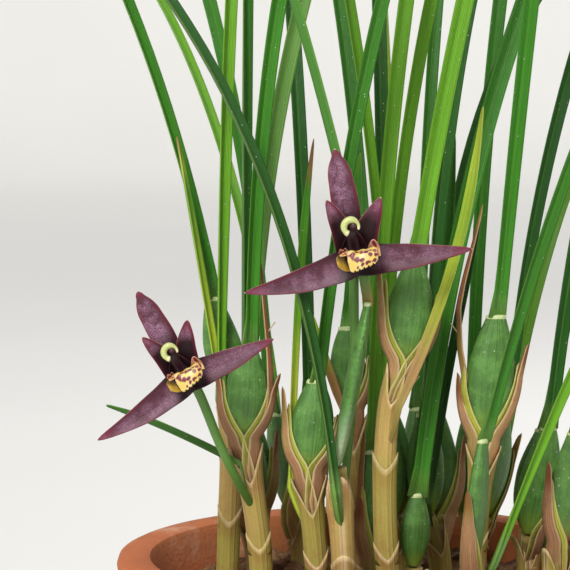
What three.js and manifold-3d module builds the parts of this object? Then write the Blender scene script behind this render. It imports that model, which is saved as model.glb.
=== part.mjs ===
// A potted coconut orchid, in millimetres, +Z up.
// Climbing stems stand in a pot of bark. They carry flat green pseudobulbs, each with one narrow
// leaf from its top, dry sheaths at the pseudobulbs' feet, and two dark red flowers.
// The origin is the middle of the pot's flat base. The viewer looks along +Y.

import * as THREE from 'three';
import { mergeVertices } from 'three/addons/utils/BufferGeometryUtils.js';
import Module from 'manifold-3d';

const wasm = await Module();
wasm.setup();

// Pot
const POT_HEIGHT = 105;
const POT_RIM_RADIUS = 60;
const POT_FOOT_RADIUS = 41;
const POT_WALL = 5;
const POT_FLOOR = 7;
const RIM_BAND_HEIGHT = 22;
const RIM_BAND_PROUD = 3.2;
const EDGE_ROUND = 1.6;
const POT_SIDES = 40;
const DRAIN_HOLES = 3;
const DRAIN_RADIUS = 5;
const DRAIN_RING_RADIUS = 22;
const DRAIN_SIDES = 10;

// Bark mix
const BARK_LEVEL = 95;
const FIT_GAP = 0.4;
const CHIP_COUNT = 28;
const CHIP_SIZE = [12, 8, 6];
const CHIP_FIELD_RADIUS = 40;
const CHIP_SEED = 11;
const STEM_HOLE_RADIUS = 4.3;
const STEM_HOLE_SIDES = 9;

// Plant: its own origin stands off the pot's axis by this much
const CLUMP_OFFSET = [4, 8, 0];
const STEM_RADIUS = 2.4;
const STEM_TAPER = 0.85;
const STEM_SIDES = 7;
const SEAT_GAP = 0.35;
const BLADE_THICKNESS = 0.8;
const LEAF_STEPS = 42;
const LEAF_SEGMENTS = 6;
const BEND_POWER = 1.3;
const TURN_LEFT_AT_TIP = 0.4;
const LEAF_FOLD_AT_FOOT = 44;
const LEAF_FOLD_AT_TIP = 24;
const HEEL_RISE = 10;
const HEEL_RADIUS = 1.1;
const HEEL_SIDES = 5;
const CURVE_SAMPLES = 40;

// Pseudobulbs: outline as [fraction of the height, fraction of the width]
const BULB_OUTLINE = [[0, 0.34], [0.14, 0.7], [0.34, 0.97], [0.56, 1], [0.8, 0.74], [1, 0.38]];
const BULB_FLATNESS = 0.7;
const BULB_SIDES = 8;

// Sheath beside a pseudobulb: it leaves the stem below, follows the outline and then spreads
const FLANK_DROP = 5;
const FLANK_OFFSET = 1.8;
const FLANK_SPREAD = 0.14;
const FLANK_WIDTH = 5.4;
const FLANK_FOLD = 42;
const FLANK_SEGMENTS = 4;

// Each shoot: the points of its sheathed stem, which goes on to the first pseudobulb, its
// pseudobulbs as [foot, top, width, thickness, azimuth of the flat face, how high the left and
// right sheaths reach], and its leaves as [foot, heading, lean at the foot, bend to the tip,
// length, width, azimuth it faces]. The first leaves stand on the pseudobulbs, in their order.
const SHOOTS = [
  {
    name: 'shoot_1',
    stem: [[-29, -26, 92], [-30, -28, 112]],
    bulbs: [[[-33.3, -30, 135.5], [-32.2, -30, 156.5], 9.6, 5.2, -90, 17, 40]],
    leaves: [
      [[-32.3, -30, 156], 20, 1.5, 46, 290, 4.6, -60],
      [[-34, -33, 130], 193, 62, 6, 34, 2.4, 90],
    ],
  },
  {
    name: 'shoot_2',
    stem: [[-38, -10, 92], [-37, -12, 118]],
    bulbs: [[[-36, -14, 142], [-40.8, -14, 166.3], 9.0, 5, -90, 0, 16]],
    leaves: [
      [[-40.8, -14, 166], 180, 12, 56, 275, 4.2, -50],
      [[-38, -19, 139], 184, 9.5, 0, 66, 2.6, -60],
      [[-39.5, -20, 143], 60, 1, 22, 300, 4.4, -40],
    ],
  },
  {
    name: 'shoot_3',
    stem: [[-30, -2, 92], [-31, -2, 104]],
    bulbs: [
      [[-32, -4, 113], [-34, -6, 137], 9.5, 5, -70, 18, 0],
      [[-31, 2, 113], [-33.6, 6, 138], 9.5, 5, -100, 0, 20],
    ],
    leaves: [
      [[-34, -6, 137], 85, 0.5, 24, 285, 4.2, -30],
      [[-33.6, 6, 138], 15, 3, 44, 270, 5, -60],
    ],
  },
  {
    name: 'shoot_4',
    stem: [[-16, -30, 92], [-17, -32, 110]],
    bulbs: [[[-18.8, -34, 129], [-17, -34, 149.5], 9.6, 5.2, -90, 19, 16]],
    leaves: [
      [[-17, -34, 149], 8, 6.5, 34, 280, 4.2, -60],
      [[-23, -28, 124], 30, 2, 6, 80, 2.2, -50],
    ],
  },
  {
    name: 'shoot_5',
    stem: [[-10, -36, 92], [-11, -39, 112]],
    bulbs: [[[-12.3, -40, 131], [-5.5, -40, 167.6], 10, 3.6, 0, 0, 0]],
    leaves: [
      [[-5.6, -40, 167], 160, 13, 26, 270, 4, 20],
      [[-13.2, -45.5, 126], 165, 7, 73, 240, 4.2, -40],
    ],
  },
  {
    name: 'shoot_6',
    stem: [[-6, -4, 92], [-7, -5, 118]],
    bulbs: [[[-8.5, -6, 139], [-9.5, -6, 158.5], 8.5, 5, -90, 0, 16]],
    leaves: [
      [[-9.5, -6, 158], 20, 6.5, -4, 42, 3.2, -90],
      [[-10.5, -11.5, 140], 182, 21, -2, 29, 2.8, -90],
    ],
  },
  {
    name: 'shoot_7',
    stem: [[1, -30, 92], [-1, -33, 112], [-1.4, -34, 130], [-0.3, -34, 144]],
    bulbs: [[[3.2, -34, 153.5], [5, -34, 176.3], 10.4, 5.4, -90, 24, 20]],
    leaves: [
      [[5, -34, 176], 8, 9.5, 22, 270, 5.2, -80],
      [[-0.2, -38.2, 144], 4, 27, -23, 70, 3, -100],
    ],
  },
  {
    name: 'shoot_8',
    stem: [[-6, -20, 92], [-5.6, -21, 100]],
    bulbs: [[[-5, -22, 107], [-4.3, -22, 131.5], 9, 4.6, -30, 30, 0]],
    leaves: [[[-4.3, -22, 131], 40, 2.6, 30, 310, 4.6, -70]],
  },
  {
    name: 'shoot_9',
    stem: [[4, 0, 92], [3, 0, 104]],
    bulbs: [
      [[1, -5, 112], [-1.7, -8, 138], 9.5, 5, -80, 0, 0],
      [[3, 3, 112], [1.2, 0.5, 138], 9.5, 5, -100, 0, 0],
      [[3, 8, 112], [0, 12, 138], 9, 5, -90, 0, 20],
    ],
    leaves: [
      [[-1.7, -8, 138], 12, 3, 36, 280, 4, -60],
      [[1.2, 0.5, 138], 165, 3.4, 26, 280, 4, -60],
      [[0, 12, 138], 95, 1, 44, 260, 4.4, -80],
    ],
  },
  {
    name: 'shoot_10',
    stem: [[14, -2, 92], [13, -3, 104]],
    bulbs: [
      [[10, -5, 113], [9, -8, 138], 9, 5, -80, 0, 0],
      [[14, 1, 112], [12.4, 4, 138], 9, 5, -100, 0, 20],
    ],
    leaves: [
      [[9, -8, 138], 20, 2, 40, 290, 4.6, -50],
      [[12.4, 4, 138], 16, 1, 96, 250, 4.6, -70],
      [[12.5, -1.2, 126], 10, 3, 0, 78, 3.4, -80],
      [[9.4, -15.5, 118], 8, 8, 6, 68, 2.6, -60],
      [[5.6, -16.5, 119], 8, 8, 4, 29, 2.6, -90],
    ],
  },
  {
    name: 'shoot_11',
    stem: [[5.4, -23, 92], [5.6, -24, 100]],
    bulbs: [[[5.8, -25, 105], [6.4, -26, 122], 7.5, 4.6, -60, 0, 0]],
    leaves: [[[6.4, -26, 121.5], 28, 7.6, 52, 305, 5.4, -80]],
  },
  {
    name: 'shoot_12',
    stem: [[20, -20, 92], [20.4, -23, 114]],
    bulbs: [[[21.7, -26, 135], [24.3, -26, 163.3], 11, 5.4, -90, 44, 22]],
    leaves: [[[24.3, -26, 163], -40, 6.5, 6, 260, 4.6, -70]],
  },
  {
    name: 'shoot_13',
    stem: [[17.1, -39, 92], [17.3, -40.4, 100]],
    bulbs: [[[17.6, -42, 107], [20.1, -42, 137.2], 9.6, 4.2, -20, 20, 0]],
    leaves: [
      [[20.1, -42, 137], -12, 14, 34, 240, 3.8, -60],
      [[25, -34, 112], -6, 20, 24, 190, 3.4, -60],
    ],
  },
  {
    name: 'shoot_14',
    stem: [[-20, 20, 92], [-20, 21, 103]],
    bulbs: [
      [[-22.7, 19, 110], [-26.7, 21, 134], 9.5, 5, 217, 0, 18],
      [[-17.3, 23, 110], [-18, 27.6, 135], 9.5, 5, 37, 20, 0],
    ],
    leaves: [
      [[-26.7, 21, 134], 146, 5, 44, 270, 4.4, 240],
      [[-18, 27.6, 135], 104, 5, 48, 290, 4.6, -80],
      [[-24.4, 28, 113], 126, 9, 60, 210, 3.6, -60],
    ],
  },
  {
    name: 'shoot_15',
    stem: [[4, 32, 92], [4, 33, 103]],
    bulbs: [
      [[7.4, 33.5, 109], [9.4, 37.5, 133], 9.5, 5, 0, 18, 0],
      [[0.6, 33.5, 109], [-1.4, 37.5, 134], 9.5, 5, 180, 20, 0],
    ],
    leaves: [
      [[9.4, 37.5, 133], 76, 8, 50, 280, 4.4, -60],
      [[-1.4, 37.5, 134], 106, 9, 54, 270, 4.6, -80],
      [[4, 41, 113], 90, 15, 64, 220, 3.6, -60],
    ],
  },
  {
    name: 'shoot_16',
    stem: [[24, 18, 92], [24, 19, 103]],
    bulbs: [
      [[26.4, 17, 109], [30.6, 18.4, 133], 9.5, 5, -45, 0, 20],
      [[21.6, 21.8, 109], [22.8, 26.2, 134], 9.5, 5, 135, 20, 0],
    ],
    leaves: [
      [[30.6, 18.4, 133], 28, 7, 50, 270, 4.4, -60],
      [[22.8, 26.2, 134], 62, 4, 46, 290, 4.6, -80],
      [[29.4, 24.4, 113], 44, 12, 62, 220, 3.6, -60],
    ],
  },
  {
    name: 'shoot_17',
    stem: [[34, -4, 92], [34.5, -4, 103]],
    bulbs: [
      [[34.5, -0.6, 109], [38.5, 1.4, 133], 9.5, 5, 90, 20, 0],
      [[34.5, -7.4, 109], [38.5, -9.4, 135], 9.5, 5, -90, 0, 18],
    ],
    leaves: [
      [[38.5, 1.4, 133], 12, 9, 52, 260, 4.4, -60],
      [[38.5, -9.4, 135], -8, 6, 40, 285, 4.6, -80],
      [[41.5, -4, 113], 0, 18, 60, 210, 3.6, -60],
    ],
  },
  {
    name: 'shoot_18',
    stem: [[38, -20, 92], [39, -20, 103]],
    bulbs: [[[40, -21, 110], [43, -23, 136], 9.5, 5, -60, 20, 0]],
    leaves: [
      [[43, -23, 136], -32, 8, 40, 270, 4.4, -60],
      [[38.5, -14, 112], -6, 22, 56, 200, 3.6, -60],
    ],
  },
];

// Flowers: the middle of the face, the shoot that bears it, its roll seen by the viewer, its size
// against the first one, and the stalk's points from the shoot up to the flower's back.
const FLOWERS = [
  {
    name: 'flower_1',
    at: [-9.6, -46, 178.6],
    roll: 11,
    size: 1,
    shoot: 'shoot_5',
    stalk: [[-11.4, -38, 119], [-9.6, -33.2, 135], [-8.2, -32.6, 150], [-8.6, -33.6, 163],
      [-9.4, -36.6, 172.5], [-9.6, -40.6, 177.2], [-9.6, -43.85, 178.5]],
  },
  {
    name: 'flower_2',
    at: [-47, -49, 153.6],
    roll: 29.5,
    size: 0.92,
    shoot: 'shoot_1',
    stalk: [[-31, -29, 119], [-35.2, -37, 128], [-38.6, -40.5, 136], [-43, -42, 146],
      [-45.6, -43.4, 151.4], [-46.9, -46.7, 153.4]],
  },
];
const STALK_RADIUS = 0.95;
const OVARY_SWELL = 1.25;
const STALK_STEPS = 9;
const STALK_SIDES = 6;

// Outlines of the tepals as [fraction of the length, fraction of the width]
const UPPER_SEPAL = [[0, 0.55], [0.25, 0.82], [0.5, 1], [0.72, 0.9], [0.86, 0.66], [0.95, 0.36],
  [1, 0.14]];
const SIDE_SEPAL = [[0, 0.8], [0.2, 1], [0.45, 0.96], [0.64, 0.72], [0.8, 0.47], [0.93, 0.24],
  [1, 0.12]];
const PETAL = [[0, 0.8], [0.35, 1], [0.55, 0.96], [0.75, 0.74], [0.9, 0.44], [1, 0.14]];

// Tepals in the flower's own plane, as [outline, angle from upright, length, width, forward lean
// at the foot, bend, foot's depth, foot's reach, droop of the middle]
const TEPALS = [
  [UPPER_SEPAL, 0, 23.2, 5.9, 8, -6, -0.9, 0.8, 0],
  [SIDE_SEPAL, 97.5, 25.2, 5.8, 2, 6, -0.6, 0.6, 0.5],
  [SIDE_SEPAL, -97.5, 25.2, 5.8, 2, 6, -0.6, 0.6, -1.2],
  [PETAL, 33, 14.6, 4.6, 30, -6, -0.2, 1.2, 0],
  [PETAL, -20, 14.6, 4.2, 30, -6, -0.2, 1.2, 0],
];
const TEPAL_THICKNESS = 1.1;
const TEPAL_HOLLOW = 1.1;
const TEPAL_STEPS = 25;

// Column, lip and anther cap, by height and depth in the flower's own face
const COLUMN_ROUTE = [[-0.2, -0.9], [0.3, 0.9], [3.5, 2.6], [6.9, 4]];
const COLUMN_RADIUS = 1.6;
const COLUMN_STEPS = 5;
const COLUMN_SIDES = 8;
const LIP_ROUTE = [[-2.3, 1.4], [-0.8, 4], [1, 6.2], [0.9, 7.9], [-2.9, 8.7]];
const LIP_OUTLINE = [[0, 0.5], [0.3, 0.85], [0.5, 0.8], [0.75, 1], [0.9, 0.86], [1, 0.5]];
const LIP_WIDTH = 7.6;
const LIP_THICKNESS = 0.9;
const LIP_LOBE_RISE = 2.4;
const LIP_LOBE_AT = 0.36;
const LIP_LOBE_REACH = 0.3;
const CAP_AT = [7.25, 6.12];
const CAP_RADIUS = 1.6;
const CAP_TUBE = 0.62;
const CAP_OPENING = -30;
const CAP_TURN = 290;
const CAP_STEPS = 8;
const CAP_SIDES = 6;

// Small tools for shapes

const rad = THREE.MathUtils.degToRad;
const clamp = THREE.MathUtils.clamp;
const lerp = THREE.MathUtils.lerp;
const UP = new THREE.Vector3(0, 0, 1);

function vector(point) {
  return new THREE.Vector3(...point);
}

// A solid from an indexed list of corners and faces
function solidOf(positions, faces) {
  const geometry = new THREE.BufferGeometry();
  geometry.setAttribute('position', new THREE.Float32BufferAttribute(positions, 3));
  geometry.setIndex(faces);
  return asSolid(geometry);
}

function asSolid(geometry) {
  const bare = geometry.clone();
  bare.deleteAttribute('normal');
  bare.deleteAttribute('uv');
  const merged = mergeVertices(bare, 1e-4);
  return new wasm.Manifold(new wasm.Mesh({
    numProp: 3,
    vertProperties: new Float32Array(merged.attributes.position.array),
    triVerts: new Uint32Array(merged.index.array),
  }));
}

function asGeometry(solid) {
  const mesh = solid.getMesh();
  const geometry = new THREE.BufferGeometry();
  geometry.setAttribute('position', new THREE.Float32BufferAttribute(mesh.vertProperties, 3));
  geometry.setIndex([...mesh.triVerts]);
  geometry.computeVertexNormals();
  return geometry;
}

function join(solids) {
  return solids.reduce((whole, next) => whole.add(next));
}

// The largest body of a solid that cutting may have left in pieces
function mainBody(solid) {
  return solid.decompose().sort((a, b) => b.volume() - a.volume())[0];
}

// A closed sheet between two like grids of points, split into triangles alike on both faces
function sheetSolid(across, along, place) {
  const positions = [];
  for (const side of [1, -1]) {
    for (let row = 0; row <= along; row += 1) {
      for (let column = 0; column <= across; column += 1) {
        positions.push(...place((2 * column) / across - 1, row / along, side).toArray());
      }
    }
  }
  const layer = (across + 1) * (along + 1);
  const at = (side, row, column) => side * layer + row * (across + 1) + column;
  const faces = [];
  for (let row = 0; row < along; row += 1) {
    for (let column = 0; column < across; column += 1) {
      const [a, b] = [at(0, row, column), at(0, row, column + 1)];
      const [c, d] = [at(0, row + 1, column + 1), at(0, row + 1, column)];
      faces.push(a, b, c, a, c, d);
      faces.push(layer + a, layer + c, layer + b, layer + a, layer + d, layer + c);
    }
  }
  const columns = Array.from({ length: across }, (_, column) => column);
  const rows = Array.from({ length: along }, (_, row) => row);
  const rim = [
    ...columns.map((column) => at(0, 0, column)),
    ...rows.map((row) => at(0, row, across)),
    ...columns.map((column) => at(0, along, across - column)),
    ...rows.map((row) => at(0, along - row, 0)),
  ];
  rim.forEach((a, i) => {
    const b = rim[(i + 1) % rim.length];
    faces.push(a, layer + a, layer + b, a, layer + b, b);
  });
  return solidOf(positions, faces);
}

// A closed tube through rings of points, with a fan at each end
function ringSolid(rings) {
  const sides = rings[0].length;
  const positions = rings.flat().flatMap((point) => point.toArray());
  const faces = [];
  for (let ring = 0; ring < rings.length - 1; ring += 1) {
    for (let side = 0; side < sides; side += 1) {
      const a = ring * sides + side;
      const b = ring * sides + ((side + 1) % sides);
      faces.push(a, b, b + sides, a, b + sides, a + sides);
    }
  }
  const last = (rings.length - 1) * sides;
  for (let side = 1; side < sides - 1; side += 1) {
    faces.push(0, side + 1, side);
    faces.push(last, last + side, last + side + 1);
  }
  return solidOf(positions, faces);
}

function curveThrough(points) {
  return new THREE.CatmullRomCurve3(points.map(vector), false, 'catmullrom', 0.5);
}

// A round tube along a curve, its radius given by the fraction of the way along
function tubeSolid(curve, steps, sides, radiusAt) {
  const rings = [];
  for (let step = 0; step <= steps; step += 1) {
    const part = step / steps;
    const middle = curve.getPoint(part);
    const ahead = curve.getTangent(part);
    const first = new THREE.Vector3(1, 0, 0).cross(ahead).normalize();
    const second = ahead.clone().cross(first);
    const ring = [];
    for (let side = 0; side < sides; side += 1) {
      const angle = (2 * Math.PI * side) / sides;
      ring.push(middle.clone()
        .addScaledVector(first, radiusAt(part) * Math.cos(angle))
        .addScaledVector(second, radiusAt(part) * Math.sin(angle)));
    }
    rings.push(ring);
  }
  return ringSolid(rings);
}

// Leaves

// Points along a blade that leans towards its heading and bends as it goes, each with the blade's
// length axis, the way its channel opens, and its width axis
function bladePath([foot, heading, lean, bend, length, , faces]) {
  const point = vector(foot);
  const away = new THREE.Vector3(Math.cos(rad(heading)), Math.sin(rad(heading)), 0);
  const turn = ((faces - heading - 180) % 360 + 540) % 360 - 180;
  const path = [];
  for (let step = 0; step <= LEAF_STEPS; step += 1) {
    const part = step / LEAF_STEPS;
    const tilt = rad(lean + bend * part ** BEND_POWER);
    const along = UP.clone().multiplyScalar(Math.cos(tilt)).addScaledVector(away, Math.sin(tilt));
    const inner = UP.clone().multiplyScalar(Math.sin(tilt)).addScaledVector(away, -Math.cos(tilt));
    const open = inner.applyAxisAngle(along, rad(turn * lerp(1, TURN_LEFT_AT_TIP, part)));
    path.push({ point: point.clone(), along, open, across: along.clone().cross(open) });
    const middle = rad(lean + bend * ((step + 0.5) / LEAF_STEPS) ** BEND_POWER);
    point.addScaledVector(UP, (length / LEAF_STEPS) * Math.cos(middle));
    point.addScaledVector(away, (length / LEAF_STEPS) * Math.sin(middle));
  }
  return path;
}

function leafWidth(part) {
  const foot = lerp(0.62, 1, clamp(part / 0.15, 0, 1));
  const tip = 1 - 0.8 * clamp((part - 0.72) / 0.28, 0, 1) ** 1.7;
  return foot * tip;
}

function sheathWidth(part) {
  return 1 - 0.82 * part ** 1.3;
}

// A folded blade: three points across, the middle one in the bottom of the channel
function bladeSolid(blade, segments, widthAt, foldAt, thickness) {
  const path = bladePath(blade);
  return sheetSolid(2, segments, (side, part, face) => {
    const { point, open, across } = path[Math.round(part * LEAF_STEPS)];
    const half = (blade[5] / 2) * widthAt(part);
    const fold = rad(foldAt(part));
    return point.clone()
      .addScaledVector(across, side * half * Math.cos(fold))
      .addScaledVector(open, Math.abs(side) * half * Math.sin(fold) + (face * thickness) / 2);
  });
}

function leafSolid(leaf) {
  const foldAt = (part) => lerp(LEAF_FOLD_AT_FOOT, LEAF_FOLD_AT_TIP, part);
  return bladeSolid(leaf, LEAF_SEGMENTS, leafWidth, foldAt, BLADE_THICKNESS);
}

// Pseudobulbs: egg-shaped, flattened, cut off where the leaf joins

function bulbAxes([foot, top, , , faces]) {
  const normal = new THREE.Vector3(Math.cos(rad(faces)), Math.sin(rad(faces)), 0);
  return { axis: vector(top).sub(vector(foot)), normal, across: UP.clone().cross(normal) };
}

function bulbSolid(bulb) {
  const [foot, , width, thickness] = bulb;
  const { axis, normal, across } = bulbAxes(bulb);
  return ringSolid(BULB_OUTLINE.map(([part, size]) => {
    const middle = vector(foot).addScaledVector(axis, part);
    return Array.from({ length: BULB_SIDES }, (_, side) => {
      const angle = (2 * Math.PI * side) / BULB_SIDES;
      const depth = (thickness / 2) * size ** BULB_FLATNESS;
      return middle.clone()
        .addScaledVector(normal, depth * Math.cos(angle))
        .addScaledVector(across, (width / 2) * size * Math.sin(angle));
    });
  }));
}

function growthSolid(bulb, leaf) {
  return bulbSolid(bulb).add(leafSolid(leaf));
}

// Stems: a sheathed rhizome, its branches to further pseudobulbs, and the heels of young leaves

// A tube with level rings, for stems that stand nearly upright
function levelTube(curve, steps, sides, radiusAt) {
  const rings = curve.getPoints(steps).map((middle, step) => (
    Array.from({ length: sides }, (_, side) => {
      const angle = (2 * Math.PI * side) / sides;
      const ray = new THREE.Vector3(Math.cos(angle), Math.sin(angle), 0);
      return middle.clone().addScaledVector(ray, radiusAt(step / steps));
    })
  ));
  return ringSolid(rings);
}

function seatOf(bulb) {
  return vector(bulb[0]).addScaledVector(UP, -SEAT_GAP).toArray();
}

function stemCurve(shoot) {
  return curveThrough([...shoot.stem, seatOf(shoot.bulbs[0])]);
}

function nearestOn(curve, target) {
  return curve.getPoints(CURVE_SAMPLES).sort((a, b) => a.distanceTo(target) - b.distanceTo(target))[0];
}

function heelSolid(shoot, foot) {
  const below = vector(foot).addScaledVector(UP, -HEEL_RISE);
  const branched = shoot.bulbs.length > 1;
  const start = branched ? vector(shoot.stem.at(-1)) : nearestOn(stemCurve(shoot), below);
  const end = vector(foot).addScaledVector(UP, 1);
  return tubeSolid(new THREE.LineCurve3(start, end), 1, HEEL_SIDES, () => HEEL_RADIUS);
}

function stalkSolid(stalk) {
  const radiusAt = (part) => lerp(1, OVARY_SWELL, part) * STALK_RADIUS;
  return tubeSolid(curveThrough(stalk), STALK_STEPS, STALK_SIDES, radiusAt);
}

// The pointed sheath on one side of a pseudobulb, its channel towards it
function flankSolid(bulb, side, reach) {
  const [foot, , width] = bulb;
  const { axis, across } = bulbAxes(bulb);
  const height = axis.length();
  const rise = axis.clone().normalize();
  const lateralAt = (level) => {
    const part = clamp(level / height, 0, 0.5);
    const beyond = Math.max(0, level - height / 2) * FLANK_SPREAD;
    return (width / 2) * widthFrom(BULB_OUTLINE, part) + FLANK_OFFSET + beyond;
  };
  const outAt = (level) => (
    level < 0 ? lerp(lateralAt(0), 1, -level / FLANK_DROP) : lateralAt(level));
  const pointAt = (level) => vector(foot)
    .addScaledVector(rise, level)
    .addScaledVector(across, side * outAt(level));
  return sheetSolid(2, FLANK_SEGMENTS, (edge, part, face) => {
    const level = lerp(-FLANK_DROP, reach, part);
    const along = pointAt(level + 0.1).sub(pointAt(level - 0.1)).normalize();
    const open = across.clone().multiplyScalar(-side);
    open.addScaledVector(along, -open.dot(along)).normalize();
    const half = (FLANK_WIDTH / 2) * sheathWidth(part);
    const fold = rad(FLANK_FOLD);
    return pointAt(level)
      .addScaledVector(along.clone().cross(open), edge * half * Math.cos(fold))
      .addScaledVector(open, Math.abs(edge) * half * Math.sin(fold)
        + (face * BLADE_THICKNESS) / 2);
  });
}

// A shoot's stem with the sheaths, young leaves and flower stalk that grow from it
function stemSolid(shoot) {
  const radiusAt = (part) => lerp(1, STEM_TAPER, part) * STEM_RADIUS;
  const solids = [levelTube(stemCurve(shoot), 2 * shoot.stem.length, STEM_SIDES, radiusAt)];
  shoot.bulbs.forEach((bulb, i) => {
    if (i > 0) {
      const branch = new THREE.LineCurve3(vector(shoot.stem.at(-1)), vector(seatOf(bulb)));
      solids.push(levelTube(branch, 1, STEM_SIDES, () => STEM_TAPER * STEM_RADIUS));
    }
    const [left, right] = bulb.slice(5);
    if (left > 0) solids.push(flankSolid(bulb, -1, left));
    if (right > 0) solids.push(flankSolid(bulb, 1, right));
  });
  for (const leaf of shoot.leaves.slice(shoot.bulbs.length)) {
    solids.push(leafSolid(leaf), heelSolid(shoot, leaf[0]));
  }
  for (const flower of FLOWERS) {
    if (flower.shoot === shoot.name) solids.push(stalkSolid(flower.stalk));
  }
  return join(solids);
}

// Flowers

// Places a point of a flower's own face, x to the viewer's right, y up and z towards the viewer
function facePlacer(flower) {
  const out = new THREE.Vector3(0, -1, 0);
  const right = new THREE.Vector3(1, 0, 0).applyAxisAngle(out, rad(flower.roll));
  const up = UP.clone().applyAxisAngle(out, rad(flower.roll));
  return (x, y, z) => vector(flower.at)
    .addScaledVector(right, x * flower.size)
    .addScaledVector(up, y * flower.size)
    .addScaledVector(out, z * flower.size);
}

function widthFrom(table, part) {
  const next = Math.max(1, table.findIndex(([at]) => at >= part - 1e-9));
  const [[a, from], [b, to]] = [table[next - 1], table[next]];
  return lerp(from, to, (part - a) / (b - a));
}

function tepalSolid(flower, [outline, angle, length, width, lean, bend, depth, start, droop]) {
  const place = facePlacer(flower);
  const [dx, dy] = [Math.sin(rad(angle)), Math.cos(rad(angle))];
  const path = [[start, depth]];
  const stride = length / TEPAL_STEPS;
  for (let step = 0; step < TEPAL_STEPS; step += 1) {
    const tilt = rad(lean + (bend * (step + 0.5)) / TEPAL_STEPS);
    const [far, out] = path[step];
    path.push([far + stride * Math.cos(tilt), out + stride * Math.sin(tilt)]);
  }
  return sheetSolid(4, 5, (side, part, face) => {
    const [far, out] = path[Math.round(part * TEPAL_STEPS)];
    const half = (width / 2) * widthFrom(outline, part);
    const lift = TEPAL_HOLLOW * side * side * (half / width) * 2;
    const off = lift + (face * TEPAL_THICKNESS) / 2;
    const beside = side * half + droop * Math.sin(Math.PI * part);
    return place(dx * far + dy * beside, dy * far - dx * beside, out + off);
  });
}

function columnSolid(flower) {
  const place = facePlacer(flower);
  const points = COLUMN_ROUTE.map(([y, z]) => place(0, y, z).toArray());
  const radiusAt = (part) => lerp(1.1, 0.9, part) * COLUMN_RADIUS;
  return tubeSolid(curveThrough(points), COLUMN_STEPS, COLUMN_SIDES, radiusAt);
}

function tepalsSolid(flower) {
  const tepals = TEPALS.map((tepal) => tepalSolid(flower, tepal));
  return join([...tepals, columnSolid(flower)]);
}

// The lip: a trough that runs forward with upright side lobes and folds down at the front
function lipSolid(flower) {
  const place = facePlacer(flower);
  const route = curveThrough(LIP_ROUTE.map(([y, z]) => [0, y, z]));
  return sheetSolid(4, 8, (side, part, face) => {
    const middle = route.getPoint(part);
    const ahead = route.getTangent(part);
    const half = (LIP_WIDTH / 2) * widthFrom(LIP_OUTLINE, part);
    const beside = Math.max(0, 1 - Math.abs(part - LIP_LOBE_AT) / LIP_LOBE_REACH);
    const off = LIP_LOBE_RISE * beside * Math.abs(side) ** 1.6 + (face * LIP_THICKNESS) / 2;
    return place(-side * half, middle.y + ahead.z * off, middle.z - ahead.y * off);
  });
}

// The anther cap: a small horseshoe in front of the column's end
function capSolid(flower) {
  const place = facePlacer(flower);
  const points = [];
  for (let step = 0; step <= CAP_STEPS; step += 1) {
    const angle = rad(CAP_OPENING + CAP_TURN * (step / CAP_STEPS));
    const x = CAP_RADIUS * Math.cos(angle);
    const y = CAP_AT[0] + CAP_RADIUS * Math.sin(angle);
    points.push(place(x, y, CAP_AT[1]).toArray());
  }
  const radiusAt = (part) => CAP_TUBE * lerp(1.15, 0.7, part);
  return tubeSolid(curveThrough(points), CAP_STEPS, CAP_SIDES, radiusAt);
}

// Pot and bark

function latheSolid(profile, sides) {
  const points = profile.map(([radius, height]) => new THREE.Vector2(radius, height));
  const lathe = new THREE.LatheGeometry(points, sides);
  lathe.rotateX(Math.PI / 2);
  return asSolid(lathe);
}

function uprightCylinder(radius, sides, x, y, bottom, top) {
  const cylinder = new THREE.CylinderGeometry(radius, radius, top - bottom, sides);
  cylinder.rotateX(Math.PI / 2);
  cylinder.translate(x, y, (top + bottom) / 2);
  return asSolid(cylinder);
}

function innerRadius(height) {
  const slope = (POT_RIM_RADIUS - RIM_BAND_PROUD - POT_FOOT_RADIUS) / POT_HEIGHT;
  return POT_FOOT_RADIUS + slope * height - POT_WALL;
}

function potSolid() {
  const bandFoot = POT_HEIGHT - RIM_BAND_HEIGHT;
  const bandFootRadius = innerRadius(bandFoot) + POT_WALL;
  const profile = [
    [0, 0],
    [POT_FOOT_RADIUS - EDGE_ROUND, 0],
    [POT_FOOT_RADIUS, EDGE_ROUND],
    [bandFootRadius, bandFoot],
    [bandFootRadius + RIM_BAND_PROUD, bandFoot + EDGE_ROUND],
    [POT_RIM_RADIUS, POT_HEIGHT - EDGE_ROUND],
    [POT_RIM_RADIUS - EDGE_ROUND, POT_HEIGHT],
    [innerRadius(POT_HEIGHT) + EDGE_ROUND, POT_HEIGHT],
    [innerRadius(POT_HEIGHT), POT_HEIGHT - EDGE_ROUND],
    [innerRadius(POT_FLOOR), POT_FLOOR],
    [0, POT_FLOOR],
  ];
  let pot = latheSolid(profile, POT_SIDES);
  for (let hole = 0; hole < DRAIN_HOLES; hole += 1) {
    const angle = (2 * Math.PI * hole) / DRAIN_HOLES;
    const x = DRAIN_RING_RADIUS * Math.cos(angle);
    const y = DRAIN_RING_RADIUS * Math.sin(angle);
    pot = pot.subtract(uprightCylinder(DRAIN_RADIUS, DRAIN_SIDES, x, y, -1, POT_FLOOR + 1));
  }
  return pot;
}

// The seeded draw that places and turns the bark chips
function seededDraw(seed) {
  let state = seed;
  return () => {
    state = (state * 16807) % 2147483647;
    return state / 2147483647;
  };
}

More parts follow.
